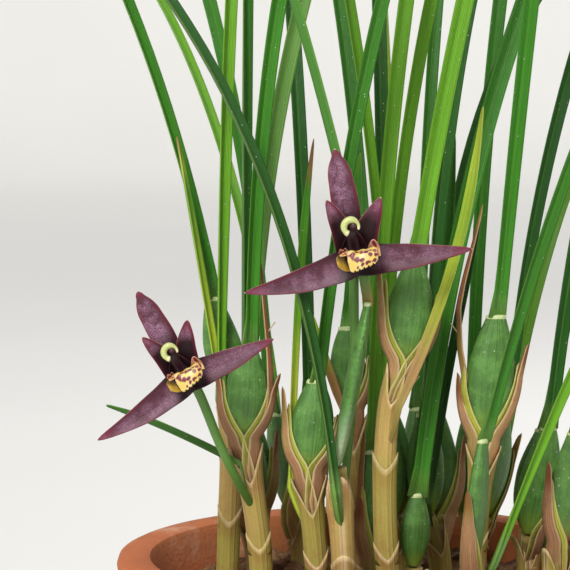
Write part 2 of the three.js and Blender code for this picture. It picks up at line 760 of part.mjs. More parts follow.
function barkSolid() {
  const inner = (height) => innerRadius(height) - FIT_GAP;
  const floor = POT_FLOOR + FIT_GAP;
  let bark = latheSolid([[0, floor], [inner(floor), floor], [inner(BARK_LEVEL), BARK_LEVEL],
    [0, BARK_LEVEL + 1]], POT_SIDES);
  const draw = seededDraw(CHIP_SEED);
  const goldenAngle = Math.PI * (3 - Math.sqrt(5));
  for (let chip = 0; chip < CHIP_COUNT; chip += 1) {
    const out = CHIP_FIELD_RADIUS * Math.sqrt((chip + 0.5) / CHIP_COUNT);
    const box = new THREE.BoxGeometry(...CHIP_SIZE.map((size) => size * (0.75 + 0.5 * draw())));
    box.rotateX(0.5 * (draw() - 0.5));
    box.rotateY(0.7 * (draw() - 0.5));
    box.rotateZ(2 * Math.PI * draw());
    const angle = chip * goldenAngle;
    box.translate(out * Math.cos(angle), out * Math.sin(angle), BARK_LEVEL + 1.6 * draw());
    bark = bark.add(asSolid(box));
  }
  for (const shoot of SHOOTS) {
    const [x, y, z] = vector(shoot.stem[0]).add(vector(CLUMP_OFFSET)).toArray();
    const hole = uprightCylinder(STEM_HOLE_RADIUS, STEM_HOLE_SIDES, x, y, z - SEAT_GAP, POT_HEIGHT);
    bark = bark.subtract(hole);
  }
  return mainBody(bark);
}

// Finishes

const FINISHES = {
  terracotta: { color: 0xb5633c, roughness: 0.86, metalness: 0 },
  bark: { color: 0x4a3020, roughness: 0.95, metalness: 0 },
  green: { color: 0x3f7a26, roughness: 0.45, metalness: 0 },
  sheath: { color: 0xb58a55, roughness: 0.7, metalness: 0 },
  tepal: { color: 0x5a1026, roughness: 0.42, metalness: 0 },
  lip: { color: 0xe8c45a, roughness: 0.4, metalness: 0 },
  cap: { color: 0xe8ebb4, roughness: 0.45, metalness: 0 },
};

const plant = new THREE.Group();

function addPiece(name, solid, finish, offset = [0, 0, 0]) {
  const piece = new THREE.Mesh(asGeometry(solid), new THREE.MeshStandardMaterial(FINISHES[finish]));
  piece.name = name;
  piece.position.set(...offset);
  plant.add(piece);
}

addPiece('pot', potSolid(), 'terracotta');
addPiece('bark_mix', barkSolid(), 'bark');
for (const shoot of SHOOTS) {
  addPiece(`${shoot.name}_stem`, stemSolid(shoot), 'sheath', CLUMP_OFFSET);
  shoot.bulbs.forEach((bulb, i) => {
    const name = `${shoot.name}_bulb_${i + 1}`;
    addPiece(name, growthSolid(bulb, shoot.leaves[i]), 'green', CLUMP_OFFSET);
  });
}
for (const flower of FLOWERS) {
  addPiece(`${flower.name}_tepals`, tepalsSolid(flower), 'tepal', CLUMP_OFFSET);
  addPiece(`${flower.name}_lip`, lipSolid(flower), 'lip', CLUMP_OFFSET);
  addPiece(`${flower.name}_cap`, capSolid(flower), 'cap', CLUMP_OFFSET);
}

export default plant;
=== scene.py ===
"""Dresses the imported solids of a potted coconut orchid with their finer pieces.

Lengths in the tables are millimetres in the plant's own frame, which stands off the pot's axis
by CLUMP. The pot and the bark are in metres.
"""

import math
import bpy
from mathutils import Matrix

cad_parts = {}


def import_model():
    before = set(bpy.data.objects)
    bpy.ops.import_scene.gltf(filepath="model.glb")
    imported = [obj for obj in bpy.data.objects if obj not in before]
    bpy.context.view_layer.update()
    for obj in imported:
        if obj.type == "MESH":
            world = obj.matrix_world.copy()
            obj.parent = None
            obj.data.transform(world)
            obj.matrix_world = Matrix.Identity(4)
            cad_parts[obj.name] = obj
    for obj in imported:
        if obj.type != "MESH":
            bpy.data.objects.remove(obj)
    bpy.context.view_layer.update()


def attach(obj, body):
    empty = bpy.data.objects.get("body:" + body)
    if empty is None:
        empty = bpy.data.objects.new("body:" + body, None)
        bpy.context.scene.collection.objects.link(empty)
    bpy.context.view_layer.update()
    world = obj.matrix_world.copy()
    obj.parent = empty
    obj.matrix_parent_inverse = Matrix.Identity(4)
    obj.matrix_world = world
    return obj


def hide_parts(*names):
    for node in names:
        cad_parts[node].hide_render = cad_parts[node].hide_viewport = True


bl_info = {
    "name": "Potted coconut orchid",
    "version": (1, 0, 0),
    "blender": (4, 5, 0),
    "location": "View3D > Sidebar > Orchid",
    "description": "Builds the leaves, pseudobulbs, sheaths, flowers, bark and pot of an orchid",
    "category": "Object",
}

from functools import cache

import bpy
import numpy as np
from bpy.props import FloatProperty, FloatVectorProperty, IntProperty, PointerProperty
from mathutils import Matrix, Vector

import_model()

MM = 0.001
CLUMP = np.array([4.0, 8.0, 0.0])
UP = np.array([0.0, 0.0, 1.0])

# Blades
LEAF_STEPS = 42
BEND_POWER = 1.3
TURN_LEFT_AT_TIP = 0.4
FOLD_AT_FOOT = 44
FOLD_AT_TIP = 24
# Width of a blade's foot beside its middle, and the share of the blade over which it widens
FOOT_ON_BULB = 0.98
FOOT_ON_STEM = 0.7
FOOT_SHARE = 0.15
# Where a blade starts to narrow, and over what share of it
TIP_FROM = 0.72
TIP_SHARE = 0.28
ROOT_ROWS = 10

# Pseudobulbs: outline as (fraction of the height, fraction of the width)
BULB_OUTLINE = [(0, 0.34), (0.14, 0.7), (0.34, 0.97), (0.56, 1), (0.8, 0.74), (1, 0.38)]
BULB_FLATNESS = 0.7
# The pale rim on top: heights beside the pseudobulb's top, and widths beside its own
RIM_HEIGHTS = (-0.75, -0.55, -0.2, 0.1, 0.3)
RIM_WIDTHS = (0.98, 1.05, 1.1, 1.06, 0.8)

# Sheaths beside the pseudobulbs
FLANK_OFFSET = 1.8
SHEATH_DROP = 11
SHEATH_WIDTH = 6.2
SHEATH_THICKNESS = 0.5
SHEATH_ROWS = 34
# How far round the outer and the inner sheath curl, in degrees
OUTER_CURL = 46
INNER_CURL = 38
# Sheaths that reach higher than this are split into a short dry one and a long tail
LONG_REACH = 26
SPLINTER_AT = 24
# How far the long dry tails swing outward, as (height, swing), by shoot
TAILS = {1: [(0, 0), (12, -0.3), (19, -0.8), (25, -1.5), (36, -2.9), (44, -3.6)],
         12: [(0, 0), (8, -0.2), (14.5, -0.5), (21, 1.4), (30, 2.8), (36, 2.4), (54, 0.2)]}
STEM_RADIUS = 2.4
STEM_TAPER = 0.85
SEAT_GAP = 0.35
# How far below its own foot a young leaf leaves the stem
YOUNG_FOOT_DROP = 12

# Sleeves round the stems, each with a notched mouth
SLEEVE_SPACING = 24
SLEEVE_OVERLAP = 5
MOUTH_NOTCH = 3.5
LAST_NOTCH = 8.3
LAST_MOUTH_GAP = 1.2
SLEEVE_CLEARANCE = 0.28
SLEEVE_HALF_THICKNESS = 0.12
LAST_FLARE = 1.1
SLEEVE_COLUMNS = 28
SLEEVE_ROWS = 12

# Sides, keel softness and edge fullness of the swept sections
LEAF_SECTION = (20, 0.16, 0.8)
BULB_SECTION = (32,)
STEM_SECTION = (20,)
FLANK_SECTION = (20, 0.5, 0.6)
STALK_SECTION = (16,)
TEPAL_SECTION = (32, 0.4, 0.6)
COLUMN_SECTION = (24,)
CAP_SECTION = (20,)

# Seeds of the shoots' own variations, to which the shoot's number is added
LEAF_SEED = 100
BULB_SEED = 200
SHEATH_SEED = 300

# Pot and bark, in metres
POT_WALL = 0.005
POT_FLOOR = 0.007
RIM_BAND = 0.022
RIM_PROUD = 0.0032
DRAIN_HOLES = 3
DRAIN_RADIUS = 0.005
DRAIN_RING = 0.022
# Turned so that no corner of a drain cutter lies on a spoke of the pot's floor
DRAIN_TURN = 0.05
BARK_GAP = 0.0004
BARK_LEVEL = 0.0945
CHIP_FIELD = 0.0455
CHIP_SHAPES = 4

# Each shoot: its stem's points, its pseudobulbs as (foot, top, width, thickness, azimuth of the
# flat face, reach of the left and right sheaths, age), and its leaves as (foot, heading, lean,
# bend, length, width, azimuth it faces, look). Leaves on the pseudobulbs come first, in order.
SHOOTS = {
    1: ([(-29, -26, 92), (-30, -28, 112)],
        [((-33.3, -30, 135.5), (-32.2, -30, 156.5), 9.6, 5.2, -90, 17, 40, 0)],
        [((-32.3, -30, 156), 20, 1.5, 46, 290, 4.6, -60, "plain"),
         ((-34, -33, 130), 193, 62, 6, 34, 2.4, 90, "dark")]),
    2: ([(-38, -10, 92), (-37, -12, 118)],
        [((-36, -14, 142), (-40.8, -14, 166.3), 9.0, 5, -90, 0, 16, 0)],
        [((-40.8, -14, 166), 180, 12, 56, 275, 4.2, -50, "plain"),
         ((-38, -19, 139), 184, 9.5, 0, 66, 2.6, -60, "young"),
         ((-39.5, -20, 143), 60, 1, 22, 300, 4.4, -40, "bright")]),
    3: ([(-30, -2, 92), (-31, -2, 104)],
        [((-32, -4, 113), (-34, -6, 137), 9.5, 5, -70, 18, 0, 0),
         ((-31, 2, 113), (-33.6, 6, 138), 9.5, 5, -100, 0, 20, 0)],
        [((-34, -6, 137), 85, 0.5, 24, 285, 4.2, -30, "plain"),
         ((-33.6, 6, 138), 15, 3, 44, 270, 5, -60, "pale")]),
    4: ([(-16, -30, 92), (-17, -32, 110)],
        [((-18.8, -34, 129), (-17, -34, 149.5), 9.6, 5.2, -90, 19, 16, 0)],
        [((-17, -34, 149), 8, 6.5, 34, 280, 4.2, -60, "plain"),
         ((-23, -28, 124), 30, 2, 6, 80, 2.2, -50, "spent")]),
    5: ([(-10, -36, 92), (-11, -39, 112)],
        [((-12.3, -40, 131), (-5.5, -40, 167.6), 10, 3.6, 0, 0, 0, 1)],
        [((-5.6, -40, 167), 160, 13, 26, 270, 4, 20, "jointed"),
         ((-13.2, -45.5, 126), 165, 7, 73, 240, 4.2, -40, "dark")]),
    6: ([(-6, -4, 92), (-7, -5, 118)],
        [((-8.5, -6, 139), (-9.5, -6, 158.5), 8.5, 5, -90, 0, 16, 0)],
        [((-9.5, -6, 158), 20, 6.5, -4, 42, 3.2, -90, "plain"),
         ((-10.5, -11.5, 140), 182, 21, -2, 29, 2.8, -90, "young")]),
    7: ([(1, -30, 92), (-1, -33, 112), (-1.4, -34, 130), (-0.3, -34, 144)],
        [((3.2, -34, 153.5), (5, -34, 176.3), 10.4, 5.4, -90, 24, 20, 0)],
        [((5, -34, 176), 8, 9.5, 22, 270, 5.2, -80, "bright"),
         ((1.6, -38.2, 144), 4, 24.5, -21, 70, 3.2, -100, "bract")]),
    8: ([(-6, -20, 92), (-5.6, -21, 100)],
        [((-5, -22, 107), (-4.3, -22, 131.5), 9, 4.6, -30, 30, 0, 0)],
        [((-4.3, -22, 131), 40, 2.6, 30, 310, 4.6, -70, "bright")]),
    9: ([(4, 0, 92), (3, 0, 104)],
        [((1, -5, 112), (-1.7, -8, 138), 9.5, 5, -80, 0, 0, 0),
         ((3, 3, 112), (1.2, 0.5, 138), 9.5, 5, -100, 0, 0, 0),
         ((3, 8, 112), (0, 12, 138), 9, 5, -90, 0, 20, 0)],
        [((-1.7, -8, 138), 12, 3, 36, 280, 4, -60, "bright"),
         ((1.2, 0.5, 138), 165, 3.4, 26, 280, 4, -60, "bright"),
         ((0, 12, 138), 95, 1, 44, 260, 4.4, -80, "dark")]),
    10: ([(14, -2, 92), (13, -3, 104)],
         [((10, -5, 113), (9, -8, 138), 9, 5, -80, 0, 0, 0),
          ((14, 1, 112), (12.4, 4, 138), 9, 5, -100, 0, 20, 0)],
         [((9, -8, 138), 20, 2, 40, 290, 4.6, -50, "dark"),
          ((12.4, 4, 138), 16, 1, 96, 250, 4.6, -70, "dark"),
          ((12.5, -1.2, 126), 10, 3, 0, 78, 3.4, -80, "plain"),
          ((9.4, -15.5, 118), 8, 8, 6, 68, 2.6, -60, "dark"),
          ((5.6, -16.5, 119), 8, 8, 4, 29, 2.6, -90, "plain")]),
    11: ([(5.4, -23, 92), (5.6, -24, 100)],
         [((5.8, -25, 105), (6.4, -26, 122), 7.5, 4.6, -60, 0, 0, 0)],
         [((6.4, -26, 121.5), 28, 7.6, 52, 305, 5.4, -80, "plain")]),
    12: ([(20, -20, 92), (20.4, -23, 114)],
         [((21.7, -26, 135), (24.3, -26, 163.3), 11, 5.4, -90, 54, 22, 0)],
         [((24.3, -26, 163), -40, 6.5, 6, 260, 4.6, -70, "plain")]),
    13: ([(17.1, -39, 92), (17.3, -40.4, 100)],
         [((17.6, -42, 107), (20.1, -42, 137.2), 9.6, 4.2, -20, 20, 0, 0)],
         [((20.1, -42, 137), -12, 14, 34, 240, 3.8, -60, "plain"),
          ((25, -34, 112), -6, 20, 24, 190, 3.4, -60, "bright")]),
    14: ([(-20, 20, 92), (-20, 21, 103)],
         [((-22.7, 19, 110), (-26.7, 21, 134), 9.5, 5, 217, 0, 18, 0),
          ((-17.3, 23, 110), (-18, 27.6, 135), 9.5, 5, 37, 20, 0, 0)],
         [((-26.7, 21, 134), 146, 5, 44, 270, 4.4, 240, "plain"),
          ((-18, 27.6, 135), 104, 5, 48, 290, 4.6, -80, "dark"),
          ((-24.4, 28, 113), 126, 9, 60, 210, 3.6, -60, "bright")]),
    15: ([(4, 32, 92), (4, 33, 103)],
         [((7.4, 33.5, 109), (9.4, 37.5, 133), 9.5, 5, 0, 18, 0, 0),
          ((0.6, 33.5, 109), (-1.4, 37.5, 134), 9.5, 5, 180, 20, 0, 0)],
         [((9.4, 37.5, 133), 76, 8, 50, 280, 4.4, -60, "plain"),
          ((-1.4, 37.5, 134), 106, 9, 54, 270, 4.6, -80, "plain"),
          ((4, 41, 113), 90, 15, 64, 220, 3.6, -60, "young")]),
    16: ([(24, 18, 92), (24, 19, 103)],
         [((26.4, 17, 109), (30.6, 18.4, 133), 9.5, 5, -45, 0, 20, 0),
          ((21.6, 21.8, 109), (22.8, 26.2, 134), 9.5, 5, 135, 20, 0, 0)],
         [((30.6, 18.4, 133), 28, 7, 50, 270, 4.4, -60, "dark"),
          ((22.8, 26.2, 134), 62, 4, 46, 290, 4.6, -80, "plain"),
          ((29.4, 24.4, 113), 44, 12, 62, 220, 3.6, -60, "bright")]),
    17: ([(34, -4, 92), (34.5, -4, 103)],
         [((34.5, -0.6, 109), (38.5, 1.4, 133), 9.5, 5, 90, 20, 0, 0),
          ((34.5, -7.4, 109), (38.5, -9.4, 135), 9.5, 5, -90, 0, 18, 0)],
         [((38.5, 1.4, 133), 12, 9, 52, 260, 4.4, -60, "plain"),
          ((38.5, -9.4, 135), -8, 6, 40, 285, 4.6, -80, "dark"),
          ((41.5, -4, 113), 0, 18, 60, 210, 3.6, -60, "bright")]),
    18: ([(38, -20, 92), (39, -20, 103)],
         [((40, -21, 110), (43, -23, 136), 9.5, 5, -60, 20, 0, 0)],
         [((43, -23, 136), -32, 8, 40, 270, 4.4, -60, "plain"),
          ((38.5, -14, 112), -6, 22, 56, 200, 3.6, -60, "bright")]),
}

# Flowers: middle of the face, roll seen by the viewer, size, the shoot that bears it, stalk's
# points, and how long each sepal and petal is beside the usual
FLOWERS = {
    1: ((-8.6, -46, 178.6), 11, 1, 5,
        [(-11.4, -38, 119), (-9.6, -33.2, 135), (-8.2, -32.6, 150), (-8.4, -33.6, 163),
         (-8.6, -36.6, 172.5), (-8.6, -40.6, 177.2), (-8.6, -44.6, 178.5)],
        (1, 1, 1, 1, 1)),
    2: ((-45.9, -49, 152.8), 29.5, 0.92, 1,
        [(-31, -29, 119), (-35.2, -37, 128), (-38.6, -40.5, 136), (-42.4, -42, 146),
         (-44.8, -43.4, 151), (-45.8, -47, 152.6)],
        (0.955, 0.89, 1.02, 0.97, 0.97)),
}
# Their outlines as (fraction of the length, fraction of the width)
UPPER_SEPAL = [(0, 0.6), (0.25, 0.88), (0.5, 1.02), (0.66, 0.95), (0.79, 0.85), (0.87, 0.63),
               (0.925, 0.38), (0.965, 0.28), (1, 0.06)]
SIDE_SEPAL = [(0, 1.2), (0.12, 1.22), (0.26, 1.1), (0.45, 0.97), (0.64, 0.72), (0.8, 0.47),
              (0.93, 0.24), (1, 0.06)]
PETAL = [(0, 1.3), (0.15, 1.56), (0.3, 1.6), (0.47, 1.3), (0.6, 1.05), (0.78, 0.76), (0.895, 0.48),
         (0.965, 0.25), (1, 0.06)]
# Outline, angle from upright, length, width, lean at the foot, bend, foot's depth and reach, droop
TEPALS = [
    (UPPER_SEPAL, 0, 23.2, 5.9, 8, -6, -0.9, 0.8, 0),
    (SIDE_SEPAL, 97.5, 25.2, 5.8, 2, 6, -0.6, 0.6, 0.5),
    (SIDE_SEPAL, -97.5, 25.2, 5.8, 2, 6, -0.6, 0.6, -1.2),
    (PETAL, 33, 16.6, 4.6, 24, 0, -0.3, -1, 0),
    (PETAL, -16.5, 16.6, 4.2, 24, 0, -0.3, -1, 0),
]
TEPAL_ROWS = 44
TEPAL_THICKNESS = 1.15
TEPAL_THINNING = 0.45
# How much lower the side sepals are at their feet
SEPAL_SAG = 1.1
STALK_RADIUS = 0.95
COLUMN_RADIUS = 1.6
# Routes of the column and the lip as (height, depth) in the flower's face
COLUMN_ROUTE = [(-0.2, -0.9), (0.3, 0.9), (3.5, 2.6), (6.9, 4)]
LIP_ROUTE = [(-2.3, 1.4), (-0.8, 4), (1, 6.2), (0.9, 7.9), (-2.9, 8.7)]
# The share of the lip's route at which it folds down
LIP_FOLD = 0.7
CAP_AT = (6.7, 6.3)
CAP_RADIUS = 1.6
CAP_ROWS = 44
# Where the horseshoe starts and how far it goes round, in degrees
CAP_START = -36
CAP_TURN = 274
# Its thickness along its length
CAP_TUBE = ((0, 0.22, 0.42, 0.7, 0.88, 1), (0.28, 0.4, 0.76, 0.78, 0.62, 0.78))
# Half width of the lip's strip along its route, and how far its middle lies to the right
LIP_HALF_WIDTH = ((0, 0.3, 0.6, 0.72, 0.85, 1), (1.7, 2.2, 2.9, 3.3, 3.5, 3.1))
LIP_SHIFT = ((0, 0.5, 0.72, 1), (0.0, 0.5, 1.6, 1.15))
LIP_ROUTE_STEPS = 120
LOBE_HALF_THICKNESS = 0.22

# Spots on the lip's front lobe: across from -1 to 1, down from 0 to 1, half width, half height
LIP_SPOTS = [
    (-0.68, 0.3, 0.22, 0.15), (-0.3, 0.1, 0.24, 0.09), (0.14, 0.24, 0.3, 0.07),
    (0.5, 0.1, 0.16, 0.07), (0.78, 0.2, 0.14, 0.09), (0.49, 0.4, 0.17, 0.09),
    (0.87, 0.42, 0.12, 0.1), (-0.42, 0.52, 0.22, 0.1), (-0.1, 0.58, 0.2, 0.08),
    (-0.04, 0.77, 0.13, 0.08), (0.32, 0.78, 0.16, 0.1), (0.74, 0.72, 0.18, 0.1),
    (-0.42, 0.86, 0.09, 0.06),
]
# Spots on its side lobes: across from -1 to 1, up from 0 to 1, half width, half height
WALL_SPOTS = [(-0.45, 0.5, 0.36, 0.2), (0.3, 0.72, 0.4, 0.19), (0.45, 0.3, 0.26, 0.15),
              (-0.1, 0.22, 0.2, 0.1)]
# The lip's side parts: left and right side, heights of the lower and upper edge from left to right,
# depths from left to right, whether it is the golden hollow in painted shadow, and the seed of its
# ruffles
LIP_LOBES = [
    (-4.3, -1.5, (-1.2, -2.2, -2.7, -2.9), (0.6, 1.5, 1.8, 1.6), (6.9, 5.6, 5.0), True, 0),
    (-3.5, -1.5, (0.9, 0.8, 0.9), (1.7, 2.5, 2.15, 2.5, 1.7), (6.5, 6.4, 6.7), False, 1),
    (2.6, 5.4, (-0.4, -0.4, -0.6), (0.7, 2.2, 3.1, 3.0, 1.5), (6.3, 6.2, 6.8), False, 3),
]


def linear(code):
    """A display colour written as six hexadecimal digits, as Blender's linear numbers."""
    parts = [int(code[i:i + 2], 16) / 255 for i in (0, 2, 4)]
    return tuple(p / 12.92 if p <= 0.04045 else ((p + 0.055) / 1.055) ** 2.4 for p in parts)


def colour(name, code, description):
    return FloatVectorProperty(name=name, description=description, subtype="COLOR", size=3,
                               min=0, max=1, default=linear(code))


def length(name, value, description):
    return FloatProperty(name=name, description=description, subtype="DISTANCE", unit="LENGTH",
                         min=0, default=value)


class LeafSettings(bpy.types.PropertyGroup):
    """Colours and sizes of the leaves and pseudobulbs."""

    plain: colour("Plain green", "357615", "Most leaves")
    bright: colour("Bright green", "62991C", "Leaves of the last growth")
    dark: colour("Dark green", "235714", "Old leaves and those in the shade")
    pale: colour("Pale green", "6B9845", "Leaves seen from their paler back")
    young: colour("Yellow green", "AFBE38", "Young leaves and bracts")
    foot: colour("Foot brown", "A97C4C", "Feet of young leaves")
    tip: colour("Dry tip", "8A5E38", "Dry tips of some leaves")
    bulb: colour("Pseudobulb", "4E7A33", "Skin of the pseudobulbs")
    rim: colour("Joint rim", "C9D69A", "Pale rim where a leaf joins its pseudobulb")
    blade: length("Blade thickness", 0.0009, "Thickness of a leaf at its middle")
    vein_depth: length("Vein depth", 0.00008, "Relief of the veins")


class SheathSettings(bpy.types.PropertyGroup):
    """Colours of the sheaths and stems."""

    tan: colour("Tan", "BC9060", "Dry outer sheaths")
    mauve: colour("Mauve brown", "94705F", "Outer sheaths in their second year")
    rust: colour("Rust", "8E5230", "Tips and margins of the dry sheaths")
    edge: colour("Sheath edge", "E0C79A", "Thin pale margins")
    olive: colour("Olive", "A8A640", "Inner sheaths that are still half green")
    stem: colour("Stem", "A08C4E", "Rhizome under its sheaths")
    fibre_depth: length("Fibre depth", 0.00012, "Relief of the fibres")


class FlowerSettings(bpy.types.PropertyGroup):
    """Colours of the flowers."""

    maroon: colour("Maroon", "450C20", "Sepals and petals")
    shade: colour("Dark foot", "22060E", "Feet of sepals and petals, which stay in the shade")
    # The mauve is painted sheen: the satin shine in the middle of the sepals and petals, and a
    # painted highlight on the column
    mauve: colour("Mauve bloom", "A87C95", "Satin bloom in the middle of sepals and petals")
    crimson: colour("Crimson", "6C1230", "Towards the tips and margins")
    margin: colour("Margin", "C79A6C", "Thin margins")
    cream: colour("Cream", "DDD5A8", "Tip points, and the lip's lower edge")
    lip: colour("Lip", "DDBB58", "Front lobe of the lip")
    hollow: colour("Hollow", "B58A1E", "Inside of the lip")
    spot: colour("Spot", "6E1B2E", "Spots on the lip")
    frill: colour("Frill", "CF8F80", "Wavy rim of the lip")
    cap: colour("Cap", "C0C67E", "Horseshoe of the anther cap")
    anther: colour("Anther", "4A2A30", "Dome inside the horseshoe")
    stalk: colour("Stalk", "5C8A38", "Flower stalks")


class PotSettings(bpy.types.PropertyGroup):
    """Sizes and colours of the pot and the bark."""

    clay: colour("Clay", "B96B43", "Fired clay")
    chalk: colour("Chalk", "D9B79B", "Lime that has dried on the clay")
    moss: colour("Moss", "6B6B38", "Green film on the clay")
    bark: colour("Bark", "5A3A26", "Bark chips")
    bark_pale: colour("Pale bark", "96714E", "Broken faces of the chips")
    chips: IntProperty(name="Chips", description="Bark chips on top", default=260, min=0)
    chip: length("Chip length", 0.0105, "Usual length of a bark chip")
    seed: IntProperty(name="Seed", description="Seed of the scattered chips", default=7)
    rim: length("Rim radius", 0.060, "Outer radius of the rim")
    foot: length("Foot radius", 0.041, "Outer radius of the foot")
    height: length("Height", 0.105, "Height of the pot")


class StageSettings(bpy.types.PropertyGroup):
    """Camera, floor and lights."""

    floor: colour("Floor", "E9E7E2", "Floor and backdrop")
    target: FloatVectorProperty(name="Target", description="Point that the camera looks at",
                                subtype="XYZ", unit="LENGTH", size=3,
                                default=(-0.020, -0.037, 0.172))
    distance: length("Distance", 0.5, "Camera's distance from the target")
    view: length("View width", 0.1254, "Width of the view at the target")
    elevation: FloatProperty(name="Elevation", description="Camera's angle above the horizon",
                             subtype="ANGLE", default=math.radians(5))
    sun: FloatProperty(name="Sun", description="Strength of the even light from the front",
                       default=1.9, min=0)
    key: FloatProperty(name="Key light", description="Power of the lamp near the camera",
                       default=6, subtype="POWER", unit="POWER", min=0)
    rim: FloatProperty(name="Rim light", description="Power of the lamp behind the leaves",
                       default=5, subtype="POWER", unit="POWER", min=0)
    world: FloatProperty(name="World", description="Strength of the light from all sides",
                         default=0.42, min=0)


# Node trees


def find_socket(sockets, key):
    if isinstance(key, int):
        return sockets[key]
    return next((s for s in sockets if s.identifier == key), None) or sockets[key]


class Value:
    """A socket of a node tree. Python's operators on it add Math nodes."""

    def __init__(self, graph, socket):
        self.graph = graph
        self.socket = socket

    def maths(self, operation, *operands):
        return self.graph.add("ShaderNodeMath", {"operation": operation}, dict(enumerate(operands)))

    def other(self, output):
        """Another output of the same node."""
        return Value(self.graph, find_socket(self.socket.node.outputs, output))

    def __add__(self, other):
        return self.maths("ADD", self, other)

    def __sub__(self, other):
        return self.maths("SUBTRACT", self, other)

    def __rsub__(self, other):
        return self.maths("SUBTRACT", other, self)

    def __mul__(self, other):
        return self.maths("MULTIPLY", self, other)

    def __truediv__(self, other):
        return self.maths("DIVIDE", self, other)

    def __pow__(self, other):
        return self.maths("POWER", self, other)

    def __abs__(self):
        return self.maths("ABSOLUTE", self)

    def sine(self):
        return self.maths("SINE", self)

    def __gt__(self, other):
        return self.maths("GREATER_THAN", self, other)

    def __lt__(self, other):
        return self.maths("LESS_THAN", self, other)

    __radd__ = __add__
    __rmul__ = __mul__


class Graph:
    """One node tree, which grows from the expressions that use it."""

    def __init__(self, tree):
        self.tree = tree

    def add(self, kind, settings=None, inputs=None, output=0):
        node = self.tree.nodes.new(kind)
        for name, setting in (settings or {}).items():
            if name == "stops":
                while len(node.color_ramp.elements) < len(setting):
                    node.color_ramp.elements.new(0)
                for element, (position, shade) in zip(node.color_ramp.elements, setting):
                    element.position = position
                    element.color = shade
            else:
                setattr(node, name, setting)
        for key, value in (inputs or {}).items():
            socket = find_socket(node.inputs, key)
            if isinstance(value, Value):
                self.tree.links.new(value.socket, socket)
            else:
                socket.default_value = value
        return Value(self, find_socket(node.outputs, output)) if node.outputs else None

    def vectors(self, operation, *operands):
        return self.add("ShaderNodeVectorMath", {"operation": operation},
                        dict(enumerate(operands)))

    def scaled(self, vector, amount):
        return self.add("ShaderNodeVectorMath", {"operation": "SCALE"},
                        {0: vector, "Scale": amount})

    def smooth(self, value, low, high):
        """0 below low and 1 above high, with an even change between."""
        return self.add("ShaderNodeMapRange", {"interpolation_type": "SMOOTHSTEP"},
                        {"Value": value, "From Min": low, "From Max": high})

    def mix(self, amount, first, second, blend="MIX"):
        return self.add("ShaderNodeMix", {"data_type": "RGBA", "blend_type": blend},
                        {"Factor_Float": amount, "A_Color": rgba(first), "B_Color": rgba(second)},
                        "Result_Color")

    def combine(self, x, y, z):
        return self.add("ShaderNodeCombineXYZ", None, {"X": x, "Y": y, "Z": z})

    def parts(self, vector):
        split = self.add("ShaderNodeSeparateXYZ", None, {"Vector": vector})
        return split, split.other("Y"), split.other("Z")

    def noise(self, vector, scale, detail=2.0, roughness=0.5):
        return self.add("ShaderNodeTexNoise", None, {"Vector": vector, "Scale": scale,
                                                     "Detail": detail, "Roughness": roughness})

    def streaks(self, coordinates, across, along, detail=2.0, roughness=0.5):
        """Noise drawn out along a strip: how fine it is across it and along it."""
        x, y, z = coordinates
        return self.noise(self.combine(x * across, y * along, z), 1.0, detail, roughness)

    def place(self):
        return self.add("ShaderNodeTexCoord", None, None, "Object")

    def attribute(self, name, output="Vector"):
        return self.add("ShaderNodeAttribute", {"attribute_name": name}, None, output)

    def bump(self, height, distance):
        return self.add("ShaderNodeBump", None, {"Height": height, "Distance": distance})

    def surface(self, base, roughness, normal=None, constants=None):
        inputs = {"Base Color": base, "Roughness": roughness, **(constants or {})}
        if normal is not None:
            inputs["Normal"] = normal
        shader = self.add("ShaderNodeBsdfPrincipled", None, inputs)
        self.add("ShaderNodeOutputMaterial", None, {"Surface": shader})


def rgba(value):
    return value if isinstance(value, Value) else (*value[:3], 1.0)


def new_graph(name):
    material = bpy.data.materials.new(name)
    material.use_nodes = True
    material.node_tree.nodes.clear()
    return material, Graph(material.node_tree)


def shape_tree(name, given, numbers, result):
    """A new shape tree: its graph, the geometry it is given and the values of its other inputs."""
    tree = bpy.data.node_groups.new(name, "GeometryNodeTree")
    sockets = [(given, "Geometry", None), *numbers, ("Material", "Material", None)]
    for label, kind, value in sockets:
        made = tree.interface.new_socket(label, in_out="INPUT", socket_type="NodeSocket" + kind)
        if value is not None:
            made.default_value = value
    tree.interface.new_socket(result, in_out="OUTPUT", socket_type="NodeSocketGeometry")
    graph = Graph(tree)
    geometry = graph.add("NodeGroupInput", None, None, given)
    return graph, geometry, [geometry.other(label) for label, _, _ in sockets[1:]]


def closed_tree(graph, geometry, material, result):
    """Ends a shape tree in real geometry that wears its material."""
    real = graph.add("GeometryNodeRealizeInstances", None, {"Geometry": geometry})
    dressed = graph.add("GeometryNodeSetMaterial", None,
                        {"Geometry": real, "Material": material})
    graph.add("NodeGroupOutput", None, {result: dressed})
    return graph.tree


# Strips: paths with a section that changes along them


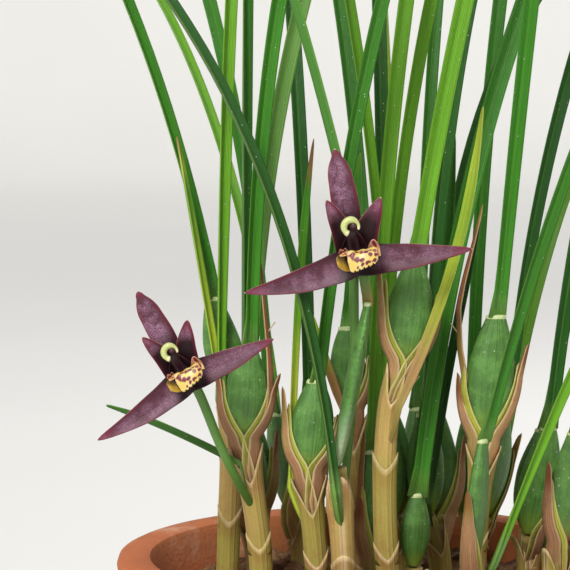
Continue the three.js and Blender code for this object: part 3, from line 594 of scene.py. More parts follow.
def strip_tree():
    """Sweeps an oval section, folded or hollowed, along paths whose points carry its measures."""
    tree = bpy.data.node_groups.get("Swept strips")
    if tree:
        return tree
    graph, given, (sides, soft, full, finish) = shape_tree("Swept strips", "Paths", [
        ("Sides", "Int", 16), ("Keel softness", "Float", 0.2), ("Edge fullness", "Float", 1.0),
    ], "Strips")

    def named(name, kind="FLOAT"):
        return graph.add("GeometryNodeInputNamedAttribute", {"data_type": kind}, {"Name": name})

    circle = graph.add("GeometryNodeCurvePrimitiveCircle", {"mode": "RADIUS"},
                       {"Resolution": sides, "Radius": 1.0})
    position = graph.add("GeometryNodeInputPosition")
    circle = graph.add("GeometryNodeStoreNamedAttribute",
                       {"data_type": "FLOAT_VECTOR", "domain": "POINT"},
                       {"Geometry": circle, "Name": "ring", "Value": position})
    small = graph.add("GeometryNodeTransform", None, {"Geometry": circle, "Scale": (MM, MM, MM)})
    paths = graph.add("GeometryNodeMeshToCurve", None, {"Mesh": given})
    swept = graph.add("GeometryNodeCurveToMesh", None,
                      {"Curve": paths, "Profile Curve": small, "Fill Caps": True})
    across, deep, _ = graph.parts(named("ring", "FLOAT_VECTOR"))
    rounded = ((across * across + soft * soft) ** 0.5 - soft) / ((soft * soft + 1) ** 0.5 - soft)
    depth = abs(deep) ** full * deep.maths("SIGN", deep) * -0.5
    rise = (named("fold_rise") * rounded + named("hollow_rise") * across * across
            + named("thickness") * depth)
    side = graph.scaled(named("across", "FLOAT_VECTOR"), named("half_width") * across)
    lift = graph.scaled(named("open", "FLOAT_VECTOR"), rise)
    point = graph.vectors("ADD", graph.vectors("ADD", named("centre", "FLOAT_VECTOR"), side), lift)
    moved = graph.add("GeometryNodeSetPosition", None, {"Geometry": swept, "Position": point})
    marked = graph.add("GeometryNodeStoreNamedAttribute",
                       {"data_type": "FLOAT_VECTOR", "domain": "POINT"},
                       {"Geometry": moved, "Name": "strip",
                        "Value": graph.combine(across, named("travel"), deep * -1)})
    smooth = graph.add("GeometryNodeSetShadeSmooth", None, {"Geometry": marked})
    return closed_tree(graph, smooth, finish, "Strips")


# The last path value is the painted mauve sheen of the sepals and petals; the pseudobulbs carry
# their age in it
PATH_VALUES = ("half_width", "fold_rise", "hollow_rise", "thickness", "travel", "part", "bloom")
KEPT_ATTRIBUTES = {"strip": "FLOAT_VECTOR", "part": "FLOAT", "bloom": "FLOAT", "hue": "FLOAT_COLOR"}
# What an attribute's numbers are called, and how many each point has
LAYOUT = {"FLOAT": ("value", 1), "FLOAT_VECTOR": ("vector", 3), "FLOAT_COLOR": ("color", 4)}


def linked(name, data):
    """A new object in the scene."""
    obj = bpy.data.objects.new(name, data)
    bpy.context.scene.collection.objects.link(obj)
    return obj


def modified(obj, tree, settings):
    """Applies a shape tree to an object and gives the plain mesh that results."""
    modifier = obj.modifiers.new(tree.name, "NODES")
    modifier.node_group = tree
    for item in tree.interface.items_tree:
        if item.item_type == "SOCKET" and item.in_out == "INPUT" and item.name in settings:
            modifier[item.identifier] = settings[item.name]
    graph = bpy.context.evaluated_depsgraph_get()
    mesh = bpy.data.meshes.new_from_object(obj.evaluated_get(graph), preserve_all_data_layers=True,
                                           depsgraph=graph)
    obj.modifiers.remove(modifier)
    return mesh


def swept(strips, material, sides, softness=0.2, fullness=1.0):
    """A mesh of swept strips. Each strip is a dict of arrays in millimetres, from strip()."""
    mesh = bpy.data.meshes.new("paths")
    points = np.concatenate([s["centre"] for s in strips]) * MM
    edges, start = [], 0
    for strip in strips:
        count = len(strip["centre"])
        edges += [(start + i, start + i + 1) for i in range(count - 1)]
        start += count
    mesh.from_pydata(points.tolist(), edges, [])
    for name, factor in (("centre", MM), ("across", 1), ("open", 1)):
        store(mesh, name, "FLOAT_VECTOR", np.concatenate([s[name] for s in strips]) * factor)
    for name in PATH_VALUES:
        factor = 1 if name in ("part", "travel", "bloom") else MM
        store(mesh, name, "FLOAT", np.concatenate([s[name] for s in strips]) * factor)
    hues = np.concatenate([s["hue"] for s in strips])
    store(mesh, "hue", "FLOAT_COLOR", np.hstack([hues, np.ones((len(hues), 1))]))
    source = linked("paths", mesh)
    made = modified(source, strip_tree(), {"Sides": sides, "Keel softness": softness,
                                           "Edge fullness": fullness, "Material": material})
    bpy.data.objects.remove(source)
    bpy.data.meshes.remove(mesh)
    return made


def store(mesh, name, kind, values):
    attribute = mesh.attributes.new(name, kind, "POINT")
    flat = np.ascontiguousarray(values, dtype=np.float32).ravel()
    attribute.data.foreach_set(LAYOUT[kind][0], flat)


def strip(centre, across, opened, half, thickness, hue, fold=0.0, hollow=0.0, bloom=0.0):
    """One strip's rows: its middle, frame, half width, thickness, rise of its sides, and colour."""
    centre = np.asarray(centre, float)
    count = len(centre)
    steps = np.linalg.norm(np.diff(centre, axis=0), axis=1)
    travel = np.concatenate([[0], np.cumsum(steps)])
    spread = lambda value: np.broadcast_to(np.asarray(value, float), count).copy()
    return {
        "centre": centre + CLUMP,
        "across": np.broadcast_to(across, (count, 3)).copy(),
        "open": np.broadcast_to(opened, (count, 3)).copy(),
        "half_width": spread(half),
        "thickness": spread(thickness),
        "fold_rise": spread(fold),
        "hollow_rise": spread(hollow),
        "travel": travel,
        "part": travel / travel[-1],
        "bloom": spread(bloom),
        "hue": np.broadcast_to(hue, (count, 3)).copy(),
    }


def sheet(place, hue, columns, rows, material):
    """A closed thin sheet. place(u, v, face) gives a point, and hue(u, v, face) its colour."""
    points, hues, strips = [], [], []
    for face in (1, -1):
        for v in np.linspace(0, 1, rows + 1):
            for u in np.linspace(-1, 1, columns + 1):
                points.append(place(u, v, face))
                hues.append((*hue(u, v, face), 1))
                strips.append((u, v, face))
    wide = columns + 1
    layer = wide * (rows + 1)
    faces = []
    for row in range(rows):
        for column in range(columns):
            a = row * wide + column
            ring = (a, a + 1, a + wide + 1, a + wide)
            faces.append(ring)
            faces.append(tuple(layer + i for i in reversed(ring)))
    rim = [*range(wide - 1), *(r * wide + columns for r in range(rows)),
           *(rows * wide + c for c in range(columns, 0, -1)),
           *(r * wide for r in range(rows, 0, -1))]
    for a, b in zip(rim, rim[1:] + rim[:1]):
        faces.append((a, layer + a, layer + b, b))
    mesh = bpy.data.meshes.new("sheet")
    mesh.from_pydata((np.array(points) * MM).tolist(), [], faces)
    store(mesh, "hue", "FLOAT_COLOR", np.array(hues))
    store(mesh, "strip", "FLOAT_VECTOR", np.array(strips))
    store(mesh, "part", "FLOAT", np.array(strips)[:, 1])
    mesh.materials.append(material)
    return mesh


def volume_of(mesh):
    mesh.calc_loop_triangles()
    corners = np.empty(len(mesh.vertices) * 3)
    mesh.vertices.foreach_get("co", corners)
    index = np.empty(len(mesh.loop_triangles) * 3, dtype=np.int64)
    mesh.loop_triangles.foreach_get("vertices", index)
    a, b, c = corners.reshape(-1, 3)[index.reshape(-1, 3)].transpose(1, 0, 2)
    return float(np.einsum("ij,ij->i", a, np.cross(b, c)).sum() / 6)


def piece(name, meshes, nodes):
    """One finished piece from one or more meshes, which stands for the named nodes."""
    points, faces, slots, materials = [], [], [], []
    values = {key: [] for key in KEPT_ATTRIBUTES}
    start = 0
    for mesh in meshes:
        count = len(mesh.vertices)
        flat = np.empty(count * 3)
        mesh.vertices.foreach_get("co", flat)
        points.append(flat.reshape(-1, 3))
        material = next(given for given in mesh.materials if given)
        if material not in materials:
            materials.append(material)
        slots += [materials.index(material)] * len(mesh.polygons)
        turned = volume_of(mesh) < 0
        for polygon in mesh.polygons:
            ring = [start + i for i in polygon.vertices]
            faces.append(ring[::-1] if turned else ring)
        for key, kind in KEPT_ATTRIBUTES.items():
            word, wide = LAYOUT[kind]
            found = mesh.attributes.get(key)
            block = np.zeros(count * wide, dtype=np.float32)
            if found:
                found.data.foreach_get(word, block)
            values[key].append(block)
        start += count
    made = bpy.data.meshes.new(name)
    made.from_pydata(np.concatenate(points).tolist(), [], faces)
    for key, kind in KEPT_ATTRIBUTES.items():
        store(made, key, kind, np.concatenate(values[key]))
    for material in materials:
        made.materials.append(material)
    made.polygons.foreach_set("material_index", slots)
    made.shade_smooth()
    for mesh in meshes:
        bpy.data.meshes.remove(mesh)
    obj = linked(name, made)
    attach(obj, "root")
    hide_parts(*nodes)
    return obj


# Paths


def unit(vectors):
    vectors = np.asarray(vectors, float)
    return vectors / np.linalg.norm(vectors, axis=-1, keepdims=True)


def headings(points):
    """The direction of a path at each of its points."""
    return unit(np.gradient(points, axis=0))


def level_way(degrees):
    """A level direction, by its angle from the plant's right."""
    return np.array([math.cos(math.radians(degrees)), math.sin(math.radians(degrees)), 0])


def blend(first, second, share):
    share = min(1.0, max(0.0, share))
    return first * (1 - share) + second * share


def eased(w):
    """Weights of the start, its slope, the end and its slope, part of the way along a curve."""
    return 2 * w**3 - 3 * w**2 + 1, w**3 - 2 * w**2 + w, 3 * w**2 - 2 * w**3, w**3 - w**2


def rounded_tip(part, start, span, least):
    """1 up to start, and then round like a fingertip."""
    return np.sqrt(np.clip(1 - ((part - start) / span).clip(0) ** 2, least, 1))


def curve_through(points, count):
    """Points along a smooth curve through the given points, and its directions."""
    given = np.array(points, float)
    held = np.vstack([2 * given[0] - given[1], given, 2 * given[-1] - given[-2]])
    made = []
    for t in np.linspace(0, len(given) - 1, count):
        i = min(int(t), len(given) - 2)
        before, start, end, after = held[i:i + 4]
        a, b, c, d = eased(t - i)
        made.append(a * start + b * (end - before) / 2 + c * end + d * (after - start) / 2)
    made = np.array(made)
    return made, headings(made)


def from_table(table, parts):
    """A smooth reading of an outline table."""
    at, value = np.array(table, float).T
    slopes = np.gradient(value, at)
    i = np.clip(np.searchsorted(at, parts, side="right") - 1, 0, len(at) - 2)
    span = at[i + 1] - at[i]
    a, b, c, d = eased((parts - at[i]) / span)
    return a * value[i] + b * span * slopes[i] + c * value[i + 1] + d * span * slopes[i + 1]


def turned(vectors, axes, degrees):
    """Vectors square to their axes, turned about them."""
    angle = np.radians(degrees)[..., None]
    return vectors * np.cos(angle) + np.cross(axes, vectors) * np.sin(angle)


def frames_across(direction, reference):
    """Width and depth axes for a path, the width axis as near the reference as it can be."""
    across = unit(reference - direction * np.sum(direction * reference, axis=1, keepdims=True))
    return across, np.cross(across, direction)


def shade_along(stops, travel):
    """Colours along a blade, from stops of (millimetres from the foot, or below 0 from the tip)."""
    total = travel[-1]
    places = [place if place >= 0 else total + place for place, _ in stops]
    order = np.argsort(places)
    at = np.array(places)[order]
    tones = np.array([tuple(tone) for _, tone in stops])[order]
    return np.stack([np.interp(travel, at, tones[:, k]) for k in range(3)], axis=1)


def halfway(first, second):
    return [(a + b) / 2 for a, b in zip(first, second)]


def leaf_stops(look):
    s = bpy.context.scene.orchid_leaves
    sheath = bpy.context.scene.orchid_sheaths
    tints = {
        "plain": [(0, s.pale), (5, s.plain), (-6, s.plain), (-0.1, s.bright)],
        "bright": [(0, s.pale), (5, s.bright), (-6, s.bright), (-0.1, s.young)],
        "dark": [(0, s.pale), (5, s.dark), (-5, s.dark), (-0.1, s.plain)],
        "pale": [(0, s.pale), (-4, s.pale), (-0.1, s.young)],
        "young": [(0, sheath.tan), (7, s.foot), (16, s.young), (-12, s.bright), (-7, s.young),
                  (-0.1, s.tip)],
        "spent": [(0, s.young), (24, s.young), (40, s.bright), (-12, s.plain), (-5, s.tip),
                  (-0.1, s.tip)],
        "jointed": [(0, sheath.rust), (1.6, s.tip), (2.4, s.pale), (6, s.pale), (14, s.plain),
                    (-0.1, s.plain)],
        "bract": [(0, halfway(sheath.tan, sheath.olive)), (9, sheath.tan), (20, sheath.olive),
                  (30, s.young), (45, halfway(s.young, s.bright)), (-0.1, s.young)],
    }
    return tints[look]


def leaf_strip(row, draw, on_bulb, seat):
    foot, heading, lean, bend, reach, width, faces, look = row
    fine = np.linspace(0, 1, 10 * LEAF_STEPS + 1)
    tilt = np.radians(lean + bend * ((fine[1:] + fine[:-1]) / 2) ** BEND_POWER)
    away = level_way(heading)
    stride = reach / (10 * LEAF_STEPS)
    moves = stride * (np.cos(tilt)[:, None] * UP + np.sin(tilt)[:, None] * away)
    route = np.vstack([np.zeros(3), np.cumsum(moves, axis=0)]) + np.array(foot, float)
    parts = np.concatenate([np.linspace(0, 0.976, LEAF_STEPS), [0.985, 0.992, 0.997, 1]])
    centre = np.stack([np.interp(parts, fine, route[:, k]) for k in range(3)], axis=1)
    tilt = np.radians(lean + bend * parts ** BEND_POWER)[:, None]
    along = np.cos(tilt) * UP + np.sin(tilt) * away
    inner = np.sin(tilt) * UP - np.cos(tilt) * away
    turn = ((faces - heading - 180) + 540) % 360 - 180
    twist = 5 * np.sin(parts * draw.uniform(4, 9) + draw.uniform(0, 6)) * parts
    opened = turned(inner, along, turn * (1 - (1 - TURN_LEFT_AT_TIP) * parts) + twist)
    across = np.cross(along, opened)
    narrow = FOOT_ON_BULB if on_bulb else FOOT_ON_STEM
    foot_width = narrow + (1 - narrow) * np.clip(parts / FOOT_SHARE, 0, 1)
    tip_width = 1 - 0.8 * np.clip((parts - TIP_FROM) / TIP_SHARE, 0, 1) ** 1.7
    point = rounded_tip(parts, 0.97, 0.0305, 0.004)
    half = width / 2 * foot_width * tip_width * point
    fold = np.radians(FOLD_AT_FOOT + (FOLD_AT_TIP - FOLD_AT_FOOT) * parts)
    if on_bulb:
        fold = fold * (0.3 + 0.7 * np.clip(parts * reach / 7, 0, 1))
    blade = bpy.context.scene.orchid_leaves.blade / MM
    thickness = (blade + 0.9 * np.clip(1 - parts / 0.05, 0, 1)) * np.sqrt(point) * (1 - 0.3 * parts)
    made = strip(centre, across, opened, half * np.cos(fold), thickness, (0, 0, 0),
                 fold=half * np.sin(fold))
    made["hue"] = shade_along(leaf_stops(look), made["travel"]) * draw.uniform(0.88, 1.1)
    return made if on_bulb else rooted(made, seat)


def rooted(made, seat):
    """A young leaf with a narrowing foot that runs down into its stem."""
    rows = ROOT_ROWS
    share = np.linspace(0, 1, rows + 1)[:-1, None]
    first = made["centre"][0]
    start = np.array(seat) + CLUMP
    bowed = start * (1 - share) + first * share
    bowed[:, :2] += (first - start)[:2] * (np.sin(share * math.pi) * 0.1)
    grown = {name: np.concatenate([np.repeat(values[:1], rows, axis=0), values])
             for name, values in made.items()}
    grown["centre"][:rows] = bowed
    for name in ("half_width", "fold_rise"):
        grown[name][:rows] *= 0.45 + 0.55 * share[:, 0]
    return grown


def bulb_axes(bulb):
    foot, top, _, _, faces = bulb[:5]
    normal = level_way(faces)
    return np.array(top, float) - np.array(foot, float), normal, np.cross(UP, normal)


def bulb_strips(bulb, draw):
    """A pseudobulb's body, and the thin pale rim where its leaf joins."""
    foot, _, width, thickness = bulb[:4]
    axis, normal, across = bulb_axes(bulb)
    s = bpy.context.scene.orchid_leaves
    parts = np.concatenate([[0, 0.015], np.linspace(0.04, 0.97, 30), [0.988, 1]])
    size = from_table(BULB_OUTLINE, parts)
    size[0] *= 0.86
    size[-1] *= 0.9
    centre = np.array(foot) + parts[:, None] * axis
    uneven = 1 + 0.012 * np.sin(parts * draw.uniform(9, 15) + draw.uniform(0, 6))
    tone = np.array(s.bulb) * draw.uniform(0.88, 1.08)
    hue = tone * (1 - 0.25 * np.clip(1 - parts / 0.2, 0, 1))[:, None]
    body = strip(centre, across, normal, width / 2 * size * uneven,
                 thickness * size ** BULB_FLATNESS, hue, bloom=bulb[7])
    body["part"] = parts
    height = np.linalg.norm(axis)
    top = 1 + np.array(RIM_HEIGHTS) / height
    ring = from_table(BULB_OUTLINE, np.clip(top, 0, 1)) * np.array(RIM_WIDTHS)
    rim = strip(np.array(foot) + top[:, None] * axis, across, normal, width / 2 * ring,
                thickness * ring ** BULB_FLATNESS, tuple(s.rim))
    return [body, rim]


def flank_layers(reach, draw):
    """Sheaths beside a pseudobulb, as (reach, clearance, width, spread, colour stops)."""
    s = bpy.context.scene.orchid_sheaths
    dry = [np.array(s.tan), np.array(s.mauve), np.array(s.rust)]
    outer = sum(w * tone for w, tone in zip(draw.dirichlet((5, 2, 1)), dry))
    fresh = halfway(bpy.context.scene.orchid_leaves.young, s.olive)
    tailed = reach > LONG_REACH
    layers = [
        (min(reach, 15) if tailed else reach, 0.4, 1.0, 0.2 if tailed else 0.1,
         [(0, s.tan), (7, outer), (-8, outer), (-4, s.rust), (-0.1, s.rust)]),
        (17 if tailed else reach * 0.8, -1.2, 1.12, 0.02,
         [(0, s.tan), (8, s.olive), (12, fresh), (-4, fresh), (-1, s.olive), (-0.1, s.tan)]),
    ]
    if tailed:
        layers.append((reach, 0.0, 0.8, -0.04,
                       [(0, s.tan), (12, outer), (-14, s.rust), (-0.1, s.rust)]))
    return layers


def splinter(root, side, across, normal):
    """A small pale splinter that stands off a dry tail."""
    way = side * 1.6 * across + 2.2 * UP
    wide_way, deep_way = frames_across(unit(way)[None, :], normal)
    pale = np.array(bpy.context.scene.orchid_sheaths.edge) * 1.2
    return strip(root + np.linspace(0, 1, 6)[:, None] * way, wide_way, deep_way,
                 np.linspace(0.34, 0.1, 6), 0.3, pale)


def flank_strips(number, bulb, side, reach, stem, draw):
    """The dry sheath on one side of a pseudobulb, and the greener one inside it."""
    foot, _, width = bulb[:3]
    axis, normal, across = bulb_axes(bulb)
    height = np.linalg.norm(axis)
    below = unit(stem - np.array(foot))
    made = []
    for high, clear, wide, spread, stops in flank_layers(reach, draw):
        inner = clear < -0.5
        swings = high > LONG_REACH and number in TAILS
        level = np.linspace(-SHEATH_DROP, high, SHEATH_ROWS)

        def lateral(at):
            inside = from_table(BULB_OUTLINE, np.clip(at / height, 0, 0.5))
            near = clear * (1 - 0.5 * np.clip(at / height * 3 - 0.4, 0, 1)) if inner else clear
            return (width / 2 * inside + FLANK_OFFSET * 0.72 + near
                    + np.maximum(0, at - height / 2) * spread)

        down = np.clip(-level / SHEATH_DROP, 0, 1)
        down = down * down * (3 - 2 * down)
        tucked = lateral(np.zeros(1)) * (1 - down) + (1.5 + clear * 0.7) * down
        out = np.where(level < 0, tucked, lateral(level))
        part = np.linspace(0, 1, len(level))
        above = np.clip(level / max(high, 1), 0, 1)
        sway = draw.uniform(-0.9, 0.9) * above ** 2 * (1 + (reach > LONG_REACH))
        if swings:
            out = out + np.interp(level, *zip(*TAILS[number]))
        core = np.where(level[:, None] < 0, -level[:, None] * below,
                        level[:, None] * (axis / height))
        overlap = 0.35 * side * np.clip(-level / 3, 0, 1)
        centre = (np.array(foot) + core + side * out[:, None] * across
                  + normal * (sway + overlap)[:, None])
        along = headings(centre)
        opened = unit(-side * across - along * np.sum(along * -side * across, axis=1)[:, None])
        point = rounded_tip(part, 0.94, 0.0605, 0.01)
        taper = 1 - 0.8 * above ** (0.75 if high > LONG_REACH else 1.4)
        half = SHEATH_WIDTH / 2 * taper * point * wide * (1 + 0.16 * np.clip(-level / 3, 0, 1))
        half = half * (1 - 0.3 * np.clip((-level - 7) / 3, 0, 1))
        fold = np.radians((INNER_CURL if inner else OUTER_CURL) - 8 * above)
        shell = strip(centre, np.cross(along, opened), opened, half * np.cos(fold),
                      SHEATH_THICKNESS * np.sqrt(point), (0, 0, 0),
                      fold=0.3 * half * np.sin(fold), hollow=0.7 * half * np.sin(fold))
        shell["hue"] = shade_along(stops, shell["travel"]) * draw.uniform(0.9, 1.08)
        made.append(shell)
        if swings:
            row = int(np.searchsorted(level, SPLINTER_AT))
            made.append(splinter(centre[row], side, across, normal))
    return made


def seat_of(bulb):
    return np.array(bulb[0], float) - UP * SEAT_GAP


def leaf_seat(number, leaf):
    """The point of the shoot's stem that a young leaf grows from."""
    points, bulbs, _ = SHOOTS[number]
    below = np.array(leaf[0], float) - UP * YOUNG_FOOT_DROP
    route, _ = curve_through([*points, seat_of(bulbs[0])], 60)
    return route[np.argmin(np.linalg.norm(route - below, axis=1))]


def stem_strips(number, draw):
    """A shoot's rhizome and its branches."""
    points, bulbs, _ = SHOOTS[number]
    s = bpy.context.scene.orchid_sheaths
    made = []
    route, direction = curve_through([*points, seat_of(bulbs[0])], 24)
    part = np.linspace(0, 1, len(route))
    routes = [(route, direction, STEM_RADIUS * (1 - (1 - STEM_TAPER) * part))]
    for bulb in bulbs[1:]:
        branch = np.linspace(points[-1], seat_of(bulb), 6)
        routes.append((branch, headings(branch), np.full(6, STEM_RADIUS * STEM_TAPER)))
    for line, ahead, radius in routes:
        across, deep = frames_across(ahead, np.array([1.0, 0, 0]))
        made.append(strip(line, across, deep, radius, 2 * radius,
                          np.array(s.stem) * draw.uniform(0.9, 1.1)))
    return made, route, direction


def sleeves(number, route, direction, material, draw):
    """Overlapping sheaths round a rhizome, each with a notched mouth."""
    bulbs = SHOOTS[number][1]
    s = bpy.context.scene.orchid_sheaths
    lengths = np.concatenate([[0], np.cumsum(np.linalg.norm(np.diff(route, axis=0), axis=1))])
    total = lengths[-1]
    across = bulb_axes(bulbs[0])[2]
    count = max(1, round(total / SLEEVE_SPACING))
    made = []
    for k in range(count):
        low = max(0.5, total * k / count - SLEEVE_OVERLAP)
        last = k == count - 1
        high = total - LAST_MOUTH_GAP if last else total * (k + 1) / count
        notch = LAST_NOTCH if last else MOUTH_NOTCH
        tone = draw.uniform(0.88, 1.1)
        olive = draw.uniform(0.3, 0.7)

        def place(u, v, face):
            angle = math.pi * u
            mouth = high - notch * (1 - abs(math.cos(angle)) ** 1.4)
            at = low + (mouth - low) * v
            middle = np.array([np.interp(at, lengths, route[:, i]) for i in range(3)])
            ahead = unit(np.array([np.interp(at, lengths, direction[:, i]) for i in range(3)]))
            right = unit(across - ahead * (across @ ahead))
            deep = np.cross(ahead, right)
            shrink = STEM_RADIUS * (1 - (1 - STEM_TAPER) * at / total)
            flare = last * (0.25 * v ** 3 + LAST_FLARE * math.cos(angle) ** 2 * v ** 4)
            radius = (shrink + SLEEVE_CLEARANCE + 0.12 * (k % 2) + 0.3 * v ** 5
                      + SLEEVE_HALF_THICKNESS * face + flare)
            return middle + CLUMP + radius * (math.cos(angle) * right + math.sin(angle) * deep)

        def hue(u, v, face):
            ground = blend(np.array(s.tan), np.array(s.olive), olive)
            dark = max(0.0, min(1.0, (v - 0.7) / 0.2)) * (0.15 if last else 0.45)
            ground = blend(ground, np.array(s.rust), dark)
            pale = max(0.0, (v - 0.955) / 0.045) ** 1.5 * 0.7
            return tuple(blend(ground, np.array(s.edge), pale) * tone)

        made.append(sheet(place, hue, SLEEVE_COLUMNS, SLEEVE_ROWS, material))
    return made


# Flowers


def face_frame(number):
    at, roll, size = FLOWERS[number][:3]
    out = np.array([0.0, -1.0, 0.0])
    angle = math.radians(roll)
    right = math.cos(angle) * np.array([1.0, 0, 0]) + math.sin(angle) * np.cross(out, [1.0, 0, 0])
    upward = math.cos(angle) * UP + math.sin(angle) * np.cross(out, UP)
    return np.array(at, float), right, upward, out, size


def tepal_strip(number, row):
    outline, angle, reach, width, lean, bend, depth, start, droop = row
    at, right, upward, out, size = face_frame(number)
    reach = reach * FLOWERS[number][5][TEPALS.index(row)]
    rows = TEPAL_ROWS
    step = reach / (rows - 1)
    tilt = np.radians(lean + bend * (np.arange(rows - 1) + 0.5) / (rows - 1))
    far = start + np.concatenate([[0], np.cumsum(step * np.cos(tilt))])
    deep = depth + np.concatenate([[0], np.cumsum(step * np.sin(tilt))])
    part = np.linspace(0, 1, rows)
    ray = math.sin(math.radians(angle)) * right + math.cos(math.radians(angle)) * upward
    beside = math.cos(math.radians(angle)) * right - math.sin(math.radians(angle)) * upward
    bow = droop * np.sin(math.pi * part)
    if outline is SIDE_SEPAL:
        bow = bow + math.copysign(SEPAL_SAG, angle) * (1 - part) ** 2
    centre = at + size * (far[:, None] * ray + deep[:, None] * out + bow[:, None] * beside)
    along = headings(centre)
    across, opened = frames_across(along, beside)
    if opened[0] @ out < 0:
        across, opened = -across, -opened
    point = rounded_tip(part, 0.955, 0.0455, 0.006)
    half = size * width / 2 * from_table(outline, part) * point
    petal = outline is PETAL
    hollow = (1.7 if petal else 1.1) * half / width * 2 * (1 - 0.25 * part)
    s = bpy.context.scene.orchid_flowers
    # The dark feet are painted shade, and the values along each tepal say how much painted mauve
    # sheen it wears
    if petal:
        stops = [(0, s.shade), (0.62, s.shade), (0.74, s.maroon), (0.87, s.crimson), (1, s.crimson)]
        bloom = np.interp(part, (0.64, 0.77, 0.91, 1), (0, 1, 0.8, 0.1))
    elif outline is UPPER_SEPAL:
        hollow = hollow * 0.7
        stops = [(0, s.shade), (0.3, s.shade), (0.5, s.maroon), (0.9, s.maroon), (0.96, s.crimson),
                 (1, s.crimson)]
        bloom = np.interp(part, (0.3, 0.5, 0.85, 0.95), (0.1, 1.15, 1.05, 0.1))
    else:
        stops = [(0, s.shade), (0.12, s.shade), (0.2, s.maroon), (0.75, s.maroon),
                 (0.92, s.crimson), (1, s.crimson)]
        bloom = np.interp(part, (0, 0.1, 0.22, 0.75, 0.97), (0.4, 0.25, 0.62, 0.68, 0.15))
    thickness = size * (TEPAL_THICKNESS - TEPAL_THINNING * part) * np.sqrt(point)
    return strip(centre, across, opened, half, thickness, shade_along(stops, part),
                 hollow=hollow, bloom=bloom)


def column_strips(number):
    """The column, the anther's dome on its end, and the flower's joint with its stalk."""
    at, right, upward, out, size = face_frame(number)
    s = bpy.context.scene.orchid_flowers
    line, ahead = curve_through([(0, *p) for p in COLUMN_ROUTE], 20)
    route = at + size * (line[:, 1:2] * upward + line[:, 2:3] * out)
    ahead = ahead[:, 1:2] * upward + ahead[:, 2:3] * out
    part = np.linspace(0, 1, 20)
    radius = size * COLUMN_RADIUS * (1.1 - 0.2 * part)
    radius[-3:] *= np.array([0.97, 0.85, 0.6])
    across, deep = frames_across(ahead, right)
    hue = np.array(s.shade) + np.array(s.maroon) * 0.5 * (1 - part[:, None])
    # Painted highlight: a mauve band a third of the way up the column
    hue = hue + np.array(s.mauve) * 0.3 * np.exp(-((part[:, None] - 0.36) / 0.12) ** 2)
    column = strip(route, across, deep, radius * 1.02, 1.9 * radius, hue)
    rows = np.linspace(0, 1, 10)
    swell = np.sqrt(np.clip(1 - rows ** 2.2, 0.01, 1))
    top = at + size * ((CAP_AT[0] + 0.25) * upward + (CAP_AT[1] - 1.9 + 2.3 * rows[:, None]) * out
                       + 0.75 * right)
    dome = strip(top, right, -upward, 1.15 * size * swell, 2.3 * size * swell, tuple(s.anther))
    return [column, dome]


def cap_strip(number):
    at, right, upward, out, size = face_frame(number)
    s = bpy.context.scene.orchid_flowers
    part = np.linspace(0, 1, CAP_ROWS)
    angle = np.radians(CAP_START + CAP_TURN * part)
    ring = np.cos(angle)[:, None] * right + np.sin(angle)[:, None] * upward
    centre = at + size * (CAP_AT[0] * upward + 0.35 * right + CAP_AT[1] * out
                          + (CAP_RADIUS - 0.12 * np.cos(angle))[:, None] * ring)
    ends = np.sqrt(np.clip(1 - (np.abs(part - 0.5) * 2 - 0.92).clip(0) ** 2 / 0.0066, 0.02, 1))
    tube = size * np.interp(part, *CAP_TUBE) * ends
    white = np.clip((np.abs(part - 0.52) - 0.36) / 0.06, 0, 1)[:, None]
    hue = np.array(s.cap) * (1 - white) + np.array(s.cream) * white
    across = np.broadcast_to(out, centre.shape)
    return strip(centre, across, ring, tube * 1.1, 2 * tube, hue)


